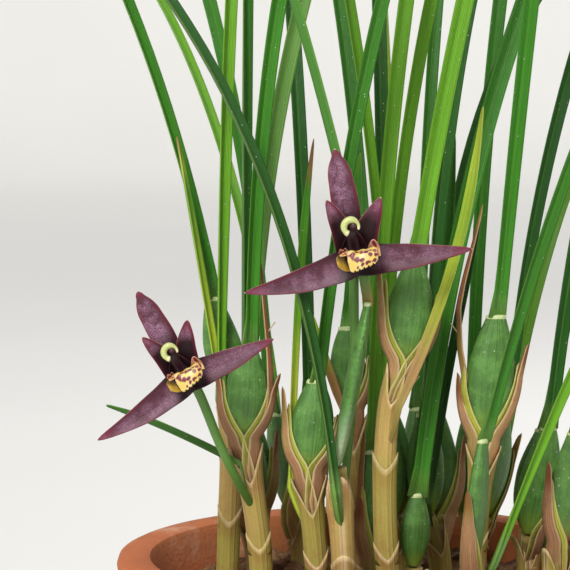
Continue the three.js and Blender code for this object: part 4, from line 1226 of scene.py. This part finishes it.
def lip_meshes(number, material):
    """The lip: a strip that rises from the column's foot and folds down in front, and its lobes."""
    at, right, upward, out, size = face_frame(number)
    s = bpy.context.scene.orchid_flowers
    route, ahead = curve_through([(0, *p) for p in LIP_ROUTE], LIP_ROUTE_STEPS + 1)
    tones = {name: np.array(getattr(s, name)) for name in
             ("lip", "hollow", "spot", "frill", "cream", "maroon")}

    def world(x, y, z):
        return at + CLUMP + size * (x * right + y * upward + z * out)

    def middle_shape(u, v):
        i = v * LIP_ROUTE_STEPS
        low = min(int(i), LIP_ROUTE_STEPS - 1)
        w = i - low
        _, y, z = route[low] * (1 - w) + route[low + 1] * w
        _, dy, dz = ahead[low]
        down = max(0.0, (v - LIP_FOLD) / (1 - LIP_FOLD))
        half = np.interp(v, *LIP_HALF_WIDTH)
        middle = np.interp(v, *LIP_SHIFT)
        x = middle + half * u + 0.16 * math.sin(11 * v + 2.2 * u) * abs(u) ** 5
        ruffle = 0.2 * math.sin(8.3 * u + 0.6) * math.exp(-((v - LIP_FOLD) / 0.09) ** 2)
        plump = 0.45 * (1 - u * u) * down * (1 - down) * 4 - 0.35 * down * u * u
        trough = 0.5 * abs(u) ** 2 * (1 - down) - 0.25 * (1 - down)
        lift = ruffle + plump + trough
        corner = 1 - 0.55 * abs(u) ** 5
        hem = down ** 3 * (0.5 + 0.6 * u + 0.16 * math.sin(19 * u + 1) + 0.1 * math.sin(37 * u))
        top = -0.5 * max(0.0, u - 0.35) * math.exp(-((v - LIP_FOLD) / 0.16) ** 2)
        return x, y + dz * lift + hem + top + down ** 4 * (1 - corner), z - dy * lift, dy, dz

    def middle(u, v, face):
        x, y, z, dy, dz = middle_shape(u, v)
        thin = 0.45 * (0.5 + 0.5 * (1 - u ** 8)) * face
        return world(x, y + dz * thin, z - dy * thin)

    def middle_hue(u, v, face):
        down = (v - LIP_FOLD) / (1 - LIP_FOLD)
        ground = blend(tones["lip"], tones["cream"], 0.25 + 0.2 * math.sin(5 * u + 9 * v))
        # Painted shade: behind the fold the lip turns to the hollow's gold and then dark maroon,
        # darkest under the column
        if down < 0:
            ground = blend(ground, tones["hollow"], -down * 3)
            ground = blend(ground, tones["maroon"], -down * 2.4 - 0.7)
        rim = math.exp(-((down + 0.06) / 0.07) ** 2) + 1.6 * (abs(u) - 0.93) * 14 * (down < 0.5)
        ground = blend(ground, tones["frill"], rim * 0.85)
        hem = (down - 0.86) * 6 + (abs(u) - 0.9) * 7 * (down > 0.5)
        ground = blend(ground, tones["cream"], hem)
        mark = 0.0
        for across, below, wide, tall in LIP_SPOTS:
            wobble = 0.2 * math.sin(17 * u + 5 * across) + 0.18 * math.sin(21 * down + 9 * across)
            away = math.hypot((u - across) / wide, (down - below) / tall) + wobble
            mark = max(mark, (1.25 - away) / 0.35)
        ground = blend(ground, tones["spot"], mark)
        return tuple(ground if face > 0 else blend(ground, tones["hollow"], 0.7))

    def lobe(left, far, low, high, depths, shadowed_golden, seed):
        """A lobe that faces the viewer, from its sides, lower and upper edges and depths."""
        lower = list(zip(np.linspace(-1, 1, len(low)), low))
        upper = list(zip(np.linspace(-1, 1, len(high)), high))

        def place(u, v, face):
            bottom, top = (float(from_table(edge, np.array([u]))[0]) for edge in (lower, upper))
            x = left + (far - left) * (u + 1) / 2
            y = bottom + (top - bottom) * v
            z = (np.interp(u, (-1, 0, 1), depths) - 0.8 * math.sin(math.pi * v)
                 + 0.2 * math.sin(7 * u + seed) * v)
            return world(x + 0.15 * (v - 0.5) * u, y, z + LOBE_HALF_THICKNESS * face)

        def hue(u, v, face):
            ground = blend(tones["frill"], tones["lip"], 0.75 - 0.6 * v)
            # Painted shadow: the golden hollow darkens to near black towards its upper right, where
            # it meets the front lobe
            if shadowed_golden:
                ground = blend(tones["hollow"], tones["lip"], 0.25 - 0.4 * u)
                ground = blend(ground, tones["maroon"] * 0.25, 1.1 * v + 0.75 * u + 0.05)
            rim = (v - 0.86) * 9 + (abs(u) - 0.9) * 8
            ground = blend(ground, tones["frill"], rim * 0.9)
            mark = 0.0
            for a, b, wide, tall in () if shadowed_golden else WALL_SPOTS:
                wobble = 0.25 * math.sin(9 * u + 7 * v + seed)
                away = math.hypot((u - a) / wide, (v - b) / tall) + wobble
                mark = max(mark, (1.2 - away) / 0.4)
            return tuple(blend(ground, tones["spot"], mark))

        return sheet(place, hue, 30, 18, material)

    lobes = [lobe(*row) for row in LIP_LOBES]
    return [sheet(middle, middle_hue, 64, 84, material), *lobes]


# Finishes


def fleck_mask(graph, scale, size, share):
    """Scattered small round flecks on object coordinates."""
    cells = graph.add("ShaderNodeTexVoronoi", {"feature": "F1"},
                      {"Vector": graph.place(), "Scale": scale}, "Distance")
    chosen = graph.parts(cells.other("Color"))[0] > 1 - share
    return (1 - graph.smooth(cells, size * 0.5, size)) * chosen


@cache
def leaf_finish():
    material, graph = new_graph("leaf")
    s = bpy.context.scene.orchid_leaves
    along_leaf = across, _, top = graph.parts(graph.attribute("strip"))
    edge = abs(across)
    streak = graph.smooth(graph.streaks(along_leaf, 5, 0.03, 3.0), 0.25, 0.75)
    cells = graph.streaks(along_leaf, 22, 0.9)
    veins = (across * 38).sine()
    patch = graph.noise(graph.place(), 60.0, 2.0)
    tone = 0.62 + 0.32 * streak + 0.3 * cells + 0.2 * patch
    hue = graph.scaled(graph.attribute("hue", "Color"), tone)
    keel = (1 - graph.smooth(edge, 0.0, 0.13)) * 0.35
    hue = graph.mix(keel, hue, s.bright)
    hue = graph.mix((top < 0) * 0.2, hue, s.pale)
    hue = graph.mix(graph.smooth(edge, 0.93, 1.0) * 0.15, hue, s.young)
    fleck = fleck_mask(graph, 950.0, 0.16, 0.16)
    hue = graph.mix(fleck * 0.75, hue, (0.75, 0.8, 0.68))
    height = veins * 0.5 + cells * 0.8 + fleck * 1.5
    graph.surface(hue, 0.36 + 0.16 * cells + 0.25 * fleck, graph.bump(height, s.vein_depth),
                  {"Specular IOR Level": 0.38, "Coat Weight": 0.06, "Coat Roughness": 0.25,
                   "Subsurface Weight": 0.06, "Subsurface Radius": (0.001, 0.002, 0.0005)})
    return material


@cache
def bulb_finish(name, aged):
    material, graph = new_graph(name)
    s = bpy.context.scene.orchid_leaves
    along_bulb = across, travel, top = graph.parts(graph.attribute("strip"))
    part = graph.attribute("part", "Fac")
    place = graph.place()
    blotch = graph.smooth(graph.noise(place, 240.0, 4.0, 0.65), 0.34, 0.66)
    grain = graph.noise(place, 2400.0, 3.0, 0.7)
    streak = graph.smooth(graph.streaks(along_bulb, 9, 0.07, 3.0), 0.3, 0.7)
    hue = graph.scaled(graph.attribute("hue", "Color"),
                       0.5 + 0.3 * blotch + 0.3 * streak + 0.4 * grain)
    hue = graph.mix(graph.smooth(blotch, 0.5, 1.0) * 0.3, hue, s.pale)
    hue = graph.mix((1 - graph.smooth(part, 0.0, 0.3)) * 0.35, hue, s.young)
    scratch = graph.streaks(along_bulb, 30, 1.4, 1.0)
    scratch = graph.smooth(scratch, 0.7, 0.76) * graph.smooth(blotch, 0.2, 0.6)
    hue = graph.mix(scratch * 0.5, hue, (0.62, 0.68, 0.55))
    fleck = fleck_mask(graph, 900.0, 0.2, 0.16)
    hue = graph.mix(fleck * 0.6, hue, (0.7, 0.75, 0.62))
    height = 0.5 * grain + 0.8 * streak + fleck
    if aged:
        ribs = (travel * 4.2 + 2 * streak).sine()
        mould = graph.noise(graph.combine(across * 3.0, travel * 0.33, top * 2), 1.6, 4.0, 0.7)
        band = graph.smooth(part, 0.18, 0.4) * (1 - graph.smooth(part, 0.72, 0.9))
        hue = graph.mix(0.15 * graph.smooth(ribs, 0.2, 1), hue, s.plain)
        hue = graph.mix(graph.smooth(mould, 0.55, 0.66) * band * 0.9, hue, (0.012, 0.02, 0.01))
        silver = (1 - graph.smooth(part, 0.1, 0.45)) * graph.smooth(across, -0.2, -0.8)
        hue = graph.mix(silver * (0.3 + 0.4 * mould), hue, (0.45, 0.55, 0.4))
        height = height + 0.25 * ribs
    graph.surface(hue, 0.38 + 0.2 * blotch, graph.bump(height, 0.00009),
                  {"Specular IOR Level": 0.4, "Coat Weight": 0.06, "Coat Roughness": 0.3,
                   "Subsurface Weight": 0.05, "Subsurface Radius": (0.001, 0.002, 0.0005)})
    return material


@cache
def sheath_finish():
    material, graph = new_graph("dry_sheath")
    s = bpy.context.scene.orchid_sheaths
    along_sheath = across, _, _ = graph.parts(graph.attribute("strip"))
    place = graph.place()
    fibres = graph.smooth(graph.streaks(along_sheath, 16, 0.09, 4.0, 0.6), 0.3, 0.7)
    blotch = graph.noise(place, 190.0, 4.0, 0.65)
    grain = graph.noise(place, 2600.0, 2.0)
    hue = graph.scaled(graph.attribute("hue", "Color"),
                       0.42 + 0.45 * fibres + 0.4 * blotch + 0.3 * grain)
    hue = graph.mix(graph.smooth(blotch, 0.5, 0.72) * 0.45, hue, s.rust)
    hue = graph.mix(graph.smooth(graph.noise(place, 75.0, 1.0), 0.5, 0.68) * 0.3, hue, s.olive)
    hue = graph.mix(graph.smooth(abs(across), 0.86, 0.98) * 0.5, hue, s.edge)
    graph.surface(hue, 0.55 + 0.2 * fibres, graph.bump(fibres + 0.4 * blotch, s.fibre_depth),
                  {"Specular IOR Level": 0.35})
    return material


@cache
def tepal_finish():
    material, graph = new_graph("sepals_and_petals")
    s = bpy.context.scene.orchid_flowers
    along_tepal = across, _, _ = graph.parts(graph.attribute("strip"))
    part = graph.attribute("part", "Fac")
    edge = abs(across)
    place = graph.place()
    grain = graph.noise(place, 5200.0, 1.0)
    cloud = graph.noise(place, 300.0, 3.0, 0.6)
    veins = graph.streaks(along_tepal, 9, 0.12)
    aside = (across + 0.18) * 0.95
    middle = graph.smooth(1 - aside * aside, 0.0, 1.0)
    patch = graph.smooth(cloud, 0.34, 0.62)
    spark = graph.smooth(grain, 0.42, 0.62)
    # Painted sheen: mauve in the middle of each tepal, in cloudy patches and fine sparkle, as the
    # path value asks
    bloom = graph.attribute("bloom", "Fac") * middle * (0.2 + 0.8 * patch) * (0.3 + 0.7 * spark)
    hue = graph.attribute("hue", "Color")
    outer = graph.smooth(edge, 0.55, 0.95) * graph.smooth(part, 0.2, 0.6)
    hue = graph.mix(outer * 0.6, hue, s.crimson)
    hue = graph.mix(bloom * 0.9, hue, s.mauve)
    hue = graph.scaled(hue, 0.72 + 0.5 * veins)
    margin = graph.smooth(edge, 0.965, 0.998) * graph.smooth(part, 0.3, 0.6)
    hue = graph.mix(margin * 0.75, hue, s.margin)
    hue = graph.mix(graph.smooth(part, 0.985, 0.996) * 0.8, hue, s.cream)
    graph.surface(hue, 0.36 + 0.22 * grain, graph.bump(grain + 0.8 * veins + 0.4 * cloud, 0.00007),
                  {"Specular IOR Level": 0.42, "Sheen Weight": 0.06, "Sheen Roughness": 0.4,
                   "Sheen Tint": (0.9, 0.62, 0.8, 1.0)})
    return material


@cache
def waxy_finish(name, roughness, grain_scale):
    """The lip, cap and column, whose colours are painted on their points."""
    material, graph = new_graph(name)
    place = graph.place()
    grain = graph.noise(place, grain_scale, 2.0)
    cloud = graph.noise(place, 900.0, 2.0)
    hue = graph.scaled(graph.attribute("hue", "Color"), 0.8 + 0.25 * cloud + 0.15 * grain)
    graph.surface(hue, roughness + 0.15 * grain, graph.bump(grain + cloud, 0.00006),
                  {"Specular IOR Level": 0.45, "Coat Weight": 0.12, "Coat Roughness": 0.25,
                   "Subsurface Weight": 0.08, "Subsurface Radius": (0.001, 0.0006, 0.0003)})
    return material


@cache
def clay_finish():
    material, graph = new_graph("terracotta")
    s = bpy.context.scene.orchid_pot
    place = graph.place()
    _, _, height = graph.parts(place)
    cloud = graph.noise(place, 22.0, 4.0, 0.6)
    grain = graph.noise(place, 900.0, 3.0)
    lime = graph.noise(place, 48.0, 5.0, 0.65)
    rings = graph.noise(graph.combine(0, 0, height * 260), 1.0, 2.0)
    hue = graph.scaled(graph.mix(graph.smooth(cloud, 0.35, 0.7) * 0.5, s.clay, linear("9E5433")),
                       0.8 + 0.3 * grain + 0.15 * rings)
    hue = graph.mix(graph.smooth(lime, 0.53, 0.72) * 0.55, hue, s.chalk)
    low = 1 - graph.smooth(height, 0.004, 0.045)
    high = graph.smooth(height, 0.08, 0.104)
    hue = graph.mix(graph.smooth(cloud, 0.45, 0.7) * (low + high * 0.6) * 0.5, hue, s.moss)
    graph.surface(hue, 0.8 + 0.15 * grain, graph.bump(grain + 0.8 * rings + 0.5 * lime, 0.0002),
                  {"Specular IOR Level": 0.25})
    return material


@cache
def bark_finish():
    material, graph = new_graph("bark")
    s = bpy.context.scene.orchid_pot
    place = graph.place()
    cloud = graph.noise(place, 110.0, 4.0, 0.65)
    grain = graph.noise(place, 1300.0, 4.0, 0.6)
    layers = graph.noise(graph.vectors("MULTIPLY", place, (200.0, 900.0, 1500.0)), 1.0, 2.0)
    hue = graph.mix(graph.smooth(cloud, 0.45, 0.68), s.bark, s.bark_pale)
    patches = graph.smooth(graph.noise(place, 62.0, 3.0, 0.6), 0.56, 0.68)
    hue = graph.mix(patches * graph.smooth(grain, 0.35, 0.6) * 0.6, hue, s.moss)
    hue = graph.scaled(hue, 0.45 + 0.6 * grain + 0.45 * layers)
    graph.surface(hue, 0.82 + 0.12 * grain, graph.bump(grain + layers + cloud, 0.0005),
                  {"Specular IOR Level": 0.2})
    return material


def stage_finish():
    material, graph = new_graph("stage")
    s = bpy.context.scene.orchid_stage
    grain = graph.noise(graph.place(), 3.0, 2.0)
    graph.surface(graph.scaled(graph.combine(*s.floor), 0.98 + 0.04 * grain), 0.9)
    return material


# Pieces


def bulb_nodes(number):
    return [f"shoot_{number}_bulb_{i + 1}" for i in range(len(SHOOTS[number][1]))]


class BuildLeaves(bpy.types.Operator):
    """Leaves of each shoot, on its pseudobulbs and on its young growths"""

    bl_idname = "orchid.leaves"
    bl_label = "Leaves"

    def execute(self, context):
        green = leaf_finish()
        for number, (_, bulbs, leaves) in SHOOTS.items():
            draw = np.random.default_rng(LEAF_SEED + number)
            strips = [leaf_strip(row, draw, i < len(bulbs), leaf_seat(number, row))
                      for i, row in enumerate(leaves)]
            nodes = bulb_nodes(number)
            if len(leaves) > len(bulbs):
                nodes.append(f"shoot_{number}_stem")
            piece(f"shoot_{number}_leaves", [swept(strips, green, *LEAF_SECTION)], nodes)
        return {"FINISHED"}


class BuildBulbs(bpy.types.Operator):
    """Pseudobulbs of each shoot"""

    bl_idname = "orchid.bulbs"
    bl_label = "Pseudobulbs"

    def execute(self, context):
        skin = bulb_finish("pseudobulb", False)
        old = bulb_finish("aged_pseudobulb", True)
        for number, (_, bulbs, _) in SHOOTS.items():
            draw = np.random.default_rng(BULB_SEED + number)
            strips = [part for bulb in bulbs for part in bulb_strips(bulb, draw)]
            aged = any(bulb[7] for bulb in bulbs)
            mesh = swept(strips, old if aged else skin, *BULB_SECTION)
            piece(f"shoot_{number}_pseudobulbs", [mesh], bulb_nodes(number))
        return {"FINISHED"}


class BuildSheaths(bpy.types.Operator):
    """Rhizomes with the dry sheaths on them and beside the pseudobulbs"""

    bl_idname = "orchid.sheaths"
    bl_label = "Sheaths"

    def execute(self, context):
        dry = sheath_finish()
        for number, (points, bulbs, _) in SHOOTS.items():
            draw = np.random.default_rng(SHEATH_SEED + number)
            stems, route, direction = stem_strips(number, draw)
            top = np.array(points[-1], float)
            meshes = [swept(stems, dry, *STEM_SECTION)]
            flanks = []
            for bulb in bulbs:
                for side, reach in ((-1, bulb[5]), (1, bulb[6])):
                    if reach:
                        flanks += flank_strips(number, bulb, side, reach, top, draw)
            if flanks:
                meshes.append(swept(flanks, dry, *FLANK_SECTION))
            meshes += sleeves(number, route, direction, dry, draw)
            piece(f"shoot_{number}_sheaths", meshes, [f"shoot_{number}_stem"])
        return {"FINISHED"}


class BuildFlowers(bpy.types.Operator):
    """Stalks, sepals and petals, columns, lips and anther caps of both flowers"""

    bl_idname = "orchid.flowers"
    bl_label = "Flowers"

    def execute(self, context):
        petal = tepal_finish()
        lip = waxy_finish("spotted_lip", 0.32, 4200.0)
        wax = waxy_finish("anther_cap", 0.3, 3000.0)
        dark = waxy_finish("column", 0.4, 3600.0)
        green = waxy_finish("stalk", 0.42, 2500.0)
        tone = context.scene.orchid_flowers.stalk
        for number, (_, _, _, shoot, points, _) in FLOWERS.items():
            route, ahead = curve_through(points, 40)
            part = np.linspace(0, 1, len(route))
            radius = STALK_RADIUS * (1 + 0.25 * part)
            across, deep = frames_across(ahead, np.array([1.0, 0, 0]))
            stalk = strip(route, across, deep, radius, 2 * radius,
                          np.array(tone) * (0.8 + 0.3 * part[:, None]))
            name = f"flower_{number}"
            piece(f"{name}_stalk", [swept([stalk], green, *STALK_SECTION)],
                  [f"shoot_{shoot}_stem"])
            tepals = [tepal_strip(number, row) for row in TEPALS]
            piece(f"{name}_sepals_and_petals", [swept(tepals, petal, *TEPAL_SECTION)],
                  [f"{name}_tepals"])
            piece(f"{name}_column", [swept(column_strips(number), dark, *COLUMN_SECTION)],
                  [f"{name}_tepals"])
            piece(f"{name}_spotted_lip", lip_meshes(number, lip), [f"{name}_lip"])
            piece(f"{name}_anther_cap", [swept([cap_strip(number)], wax, *CAP_SECTION)],
                  [f"{name}_cap"])
        return {"FINISHED"}


def lathe(name, profile, sides, material):
    mesh = bpy.data.meshes.new(name)
    points, faces = [], []
    rings = []
    for radius, height in profile:
        if radius < 1e-6:
            rings.append([len(points)])
            points.append((0, 0, height))
            continue
        rings.append(list(range(len(points), len(points) + sides)))
        for k in range(sides):
            angle = 2 * math.pi * k / sides
            points.append((radius * math.cos(angle), radius * math.sin(angle), height))
    for low, high in zip(rings, rings[1:]):
        for k in range(sides):
            a, b = low[k % len(low)], low[(k + 1) % len(low)]
            c, d = high[(k + 1) % len(high)], high[k % len(high)]
            faces.append(tuple(dict.fromkeys((a, b, c, d))))
    mesh.from_pydata(points, [], faces)
    mesh.materials.append(material)
    return mesh


def outer_radius(height):
    """The pot's outer radius, without its rim band."""
    s = bpy.context.scene.orchid_pot
    return s.foot + (s.rim - RIM_PROUD - s.foot) / s.height * height


class BuildPot(bpy.types.Operator):
    """Terracotta pot with a rim band and three drain holes"""

    bl_idname = "orchid.pot"
    bl_label = "Pot"

    def execute(self, context):
        s = context.scene.orchid_pot
        band_foot = s.height - RIM_BAND
        rim_foot = outer_radius(band_foot) + RIM_PROUD
        profile = [(0, 0), (s.foot - 0.012, 0), (s.foot - 0.0016, 0), (s.foot - 0.0005, 0.0005),
                   (s.foot, 0.0016)]
        profile += [(outer_radius(z), z) for z in np.linspace(0.008, band_foot - 0.0006, 14)]
        profile += [(outer_radius(band_foot) + 0.0006, band_foot),
                    (rim_foot - 0.0008, band_foot + 0.0008), (rim_foot, band_foot + 0.0022)]
        profile += [(rim_foot + (s.rim - outer_radius(band_foot) - RIM_PROUD) * k,
                     band_foot + 0.0022 + 0.0176 * k) for k in (0.25, 0.5, 0.75, 1)]
        mouth = outer_radius(s.height) - POT_WALL
        profile += [(s.rim - 0.0005, s.height - 0.0006), (s.rim - 0.0017, s.height),
                    (mouth + 0.0016, s.height), (mouth + 0.0004, s.height - 0.0005)]
        profile += [(outer_radius(z) - POT_WALL, z)
                    for z in np.linspace(s.height - 0.0018, POT_FLOOR + 0.002, 12)]
        profile += [(outer_radius(POT_FLOOR) - POT_WALL - 0.002, POT_FLOOR), (0, POT_FLOOR)]
        clay = clay_finish()
        pot = linked("pot_body", lathe("pot_body", profile, 96, clay))
        cutters = []
        past, top = -0.002, POT_FLOOR + 0.002
        for k in range(DRAIN_HOLES):
            angle = 2 * math.pi * k / DRAIN_HOLES
            ring = [(0, past), (DRAIN_RADIUS, past), (DRAIN_RADIUS, top), (0, top)]
            mesh = lathe("drain", ring, 32, clay)
            x, y = DRAIN_RING * math.cos(angle), DRAIN_RING * math.sin(angle)
            mesh.transform(Matrix.Translation((x, y, 0)) @ Matrix.Rotation(DRAIN_TURN, 4, "Z"))
            cutter = linked("drain", mesh)
            cut = pot.modifiers.new("drain", "BOOLEAN")
            cut.operation, cut.object, cut.solver = "DIFFERENCE", cutter, "EXACT"
            cutters.append(cutter)
        graph = context.evaluated_depsgraph_get()
        body = bpy.data.meshes.new_from_object(pot.evaluated_get(graph), depsgraph=graph)
        for obj in (pot, *cutters):
            bpy.data.objects.remove(obj)
        made = piece("terracotta_pot", [body], ["pot"])
        made.data.set_sharp_from_angle(angle=math.radians(40))
        return {"FINISHED"}


def chip_tree():
    """Scatters bark chips over a disc, with fixed seeds."""
    graph, disc, (count, size, area, seed, bark) = shape_tree("Bark chips", "Disc", [
        ("Chips", "Int", 100), ("Chip length", "Float", 0.01), ("Field area", "Float", 0.008),
        ("Seed", "Int", 1),
    ], "Bark")
    points = graph.add("GeometryNodeDistributePointsOnFaces", {"distribute_method": "RANDOM"},
                       {"Mesh": disc, "Density": count / area, "Seed": seed})
    block = graph.add("GeometryNodeMeshCube", None, {"Size": (1.0, 0.62, 0.42), "Vertices X": 4,
                                                     "Vertices Y": 3, "Vertices Z": 3})
    position = graph.add("GeometryNodeInputPosition")
    worn = []
    for k in range(CHIP_SHAPES):
        elsewhere = graph.vectors("ADD", position, (3.0 * k, 0, 0))
        rough = graph.noise(elsewhere, 2.4, 2.0).other("Color")
        shift = graph.scaled(graph.vectors("SUBTRACT", rough, (0.5, 0.5, 0.5)), 0.6)
        worn.append(graph.add("GeometryNodeSetPosition", None,
                              {"Geometry": block, "Offset": shift}))
    chips = graph.add("GeometryNodeGeometryToInstance", None, {"Geometry": worn[0]})
    for shape in worn[1:]:
        graph.tree.links.new(shape.socket, chips.socket.node.inputs[0])
    index = graph.add("GeometryNodeInputIndex")

    def random(low, high, offset):
        return graph.add("FunctionNodeRandomValue", {"data_type": "FLOAT_VECTOR"},
                         {"Min": low, "Max": high, "ID": index, "Seed": seed + offset}, "Value")

    turn = random((-0.45, -0.5, 0.0), (0.45, 0.5, 2 * math.pi), 1)
    grow = random((0.6, 0.7, 0.5), (1.25, 1.2, 1.1), 2)
    placed = graph.add("GeometryNodeInstanceOnPoints", None,
                       {"Points": points, "Instance": chips, "Pick Instance": True,
                        "Instance Index": index, "Rotation": turn,
                        "Scale": graph.scaled(grow, size)})
    return closed_tree(graph, placed, bark, "Bark")


class BuildBark(bpy.types.Operator):
    """Bark mix that fills the pot, with loose chips on top"""

    bl_idname = "orchid.bark"
    bl_label = "Bark"

    def execute(self, context):
        s = context.scene.orchid_pot
        bark = bark_finish()
        low, level, field = POT_FLOOR + BARK_GAP, BARK_LEVEL, CHIP_FIELD
        profile = [(0, low)]
        profile += [(outer_radius(z) - POT_WALL - BARK_GAP, z)
                    for z in (low, *np.linspace(0.02, level, 6))]
        profile += [(0.04, level + 0.0006), (0.02, level + 0.001), (0, level + 0.0012)]
        bed = lathe("bed", profile, 64, bark)
        rings = [(0, level), (field * 0.5, level), (field, level - 0.0006)]
        disc = linked("disc", lathe("disc", rings, 48, bark))
        chips = modified(disc, chip_tree(), {
            "Chips": s.chips, "Chip length": s.chip, "Field area": math.pi * field ** 2,
            "Seed": s.seed, "Material": bark})
        bpy.data.objects.remove(disc)
        made = piece("bark_chips", [bed, chips], ["bark_mix"])
        made.data.set_sharp_from_angle(angle=math.radians(50))
        return {"FINISHED"}


class BuildStage(bpy.types.Operator):
    """Camera at the photograph's angle, pale floor that rises to a backdrop, soft lights"""

    bl_idname = "orchid.stage"
    bl_label = "Stage"

    def execute(self, context):
        scene = context.scene
        s = scene.orchid_stage
        target = Vector(s.target)
        lens = bpy.data.cameras.new("camera")
        lens.sensor_width = 36
        lens.lens = 36 * s.distance / s.view
        lens.clip_start, lens.clip_end = 0.01, 60
        camera = linked("camera", lens)
        back = Vector((0, -math.cos(s.elevation), math.sin(s.elevation)))
        camera.location = target + back * s.distance
        camera.rotation_euler = (-back).to_track_quat("-Z", "Y").to_euler()
        scene.camera = camera

        bend = [(4.2 + 1.4 * math.sin(a), 1.4 - 1.4 * math.cos(a))
                for a in np.radians(np.linspace(0, 90, 14))]
        mesh = lathe("floor", [(0, 0), (0.5, 0), (2, 0), *bend, (5.6, 1.7)], 96, stage_finish())
        mesh.flip_normals()
        mesh.shade_smooth()
        floor = linked("floor", mesh)

        sun = bpy.data.lights.new("sun", "SUN")
        sun.energy, sun.angle = s.sun, math.radians(14)
        lamps = [(sun, (-0.45, -1.0, 1.0), Vector((0, 0, 0)))]
        for name, place, size, power in (("key", (-0.35, -1.0, 0.75), 0.4, s.key),
                                         ("rim", (0.7, 0.9, 0.9), 0.5, s.rim)):
            lamp = bpy.data.lights.new(name, "AREA")
            lamp.size, lamp.energy = size, power
            lamps.append((lamp, place, target))
        for lamp, place, aim in lamps:
            obj = linked(lamp.name, lamp)
            obj.location = place
            obj.rotation_euler = (aim - Vector(place)).to_track_quat("-Z", "Y").to_euler()
        world = bpy.data.worlds.new("world")
        world.use_nodes = True
        world.node_tree.nodes["Background"].inputs["Color"].default_value = (0.95, 0.97, 1.0, 1)
        world.node_tree.nodes["Background"].inputs["Strength"].default_value = s.world
        scene.world = world
        scene.view_settings.view_transform = "Standard"
        return {"FINISHED"}


OPERATORS = (BuildStage, BuildPot, BuildBark, BuildSheaths, BuildBulbs, BuildLeaves, BuildFlowers)


class OrchidPanel(bpy.types.Panel):
    """Lists the pieces of the orchid"""

    bl_idname = "VIEW3D_PT_orchid"
    bl_label = "Potted orchid"
    bl_space_type = "VIEW_3D"
    bl_region_type = "UI"
    bl_category = "Orchid"

    def draw(self, context):
        for operator in OPERATORS:
            self.layout.operator(operator.bl_idname)
        for group in SETTINGS:
            self.layout.label(text=group.replace("orchid_", "").title())
            for name in SETTINGS[group].__annotations__:
                self.layout.prop(getattr(context.scene, group), name)


SETTINGS = {
    "orchid_leaves": LeafSettings,
    "orchid_sheaths": SheathSettings,
    "orchid_flowers": FlowerSettings,
    "orchid_pot": PotSettings,
    "orchid_stage": StageSettings,
}
CLASSES = (*SETTINGS.values(), *OPERATORS, OrchidPanel)


def register():
    for made in CLASSES:
        bpy.utils.register_class(made)
    for name, group in SETTINGS.items():
        setattr(bpy.types.Scene, name, PointerProperty(type=group))


def unregister():
    for name in SETTINGS:
        delattr(bpy.types.Scene, name)
    for made in reversed(CLASSES):
        bpy.utils.unregister_class(made)


def main():
    register()
    for operator in OPERATORS:
        group, name = operator.bl_idname.split(".")
        getattr(getattr(bpy.ops, group), name)()


if __name__ == "__main__":
    main()
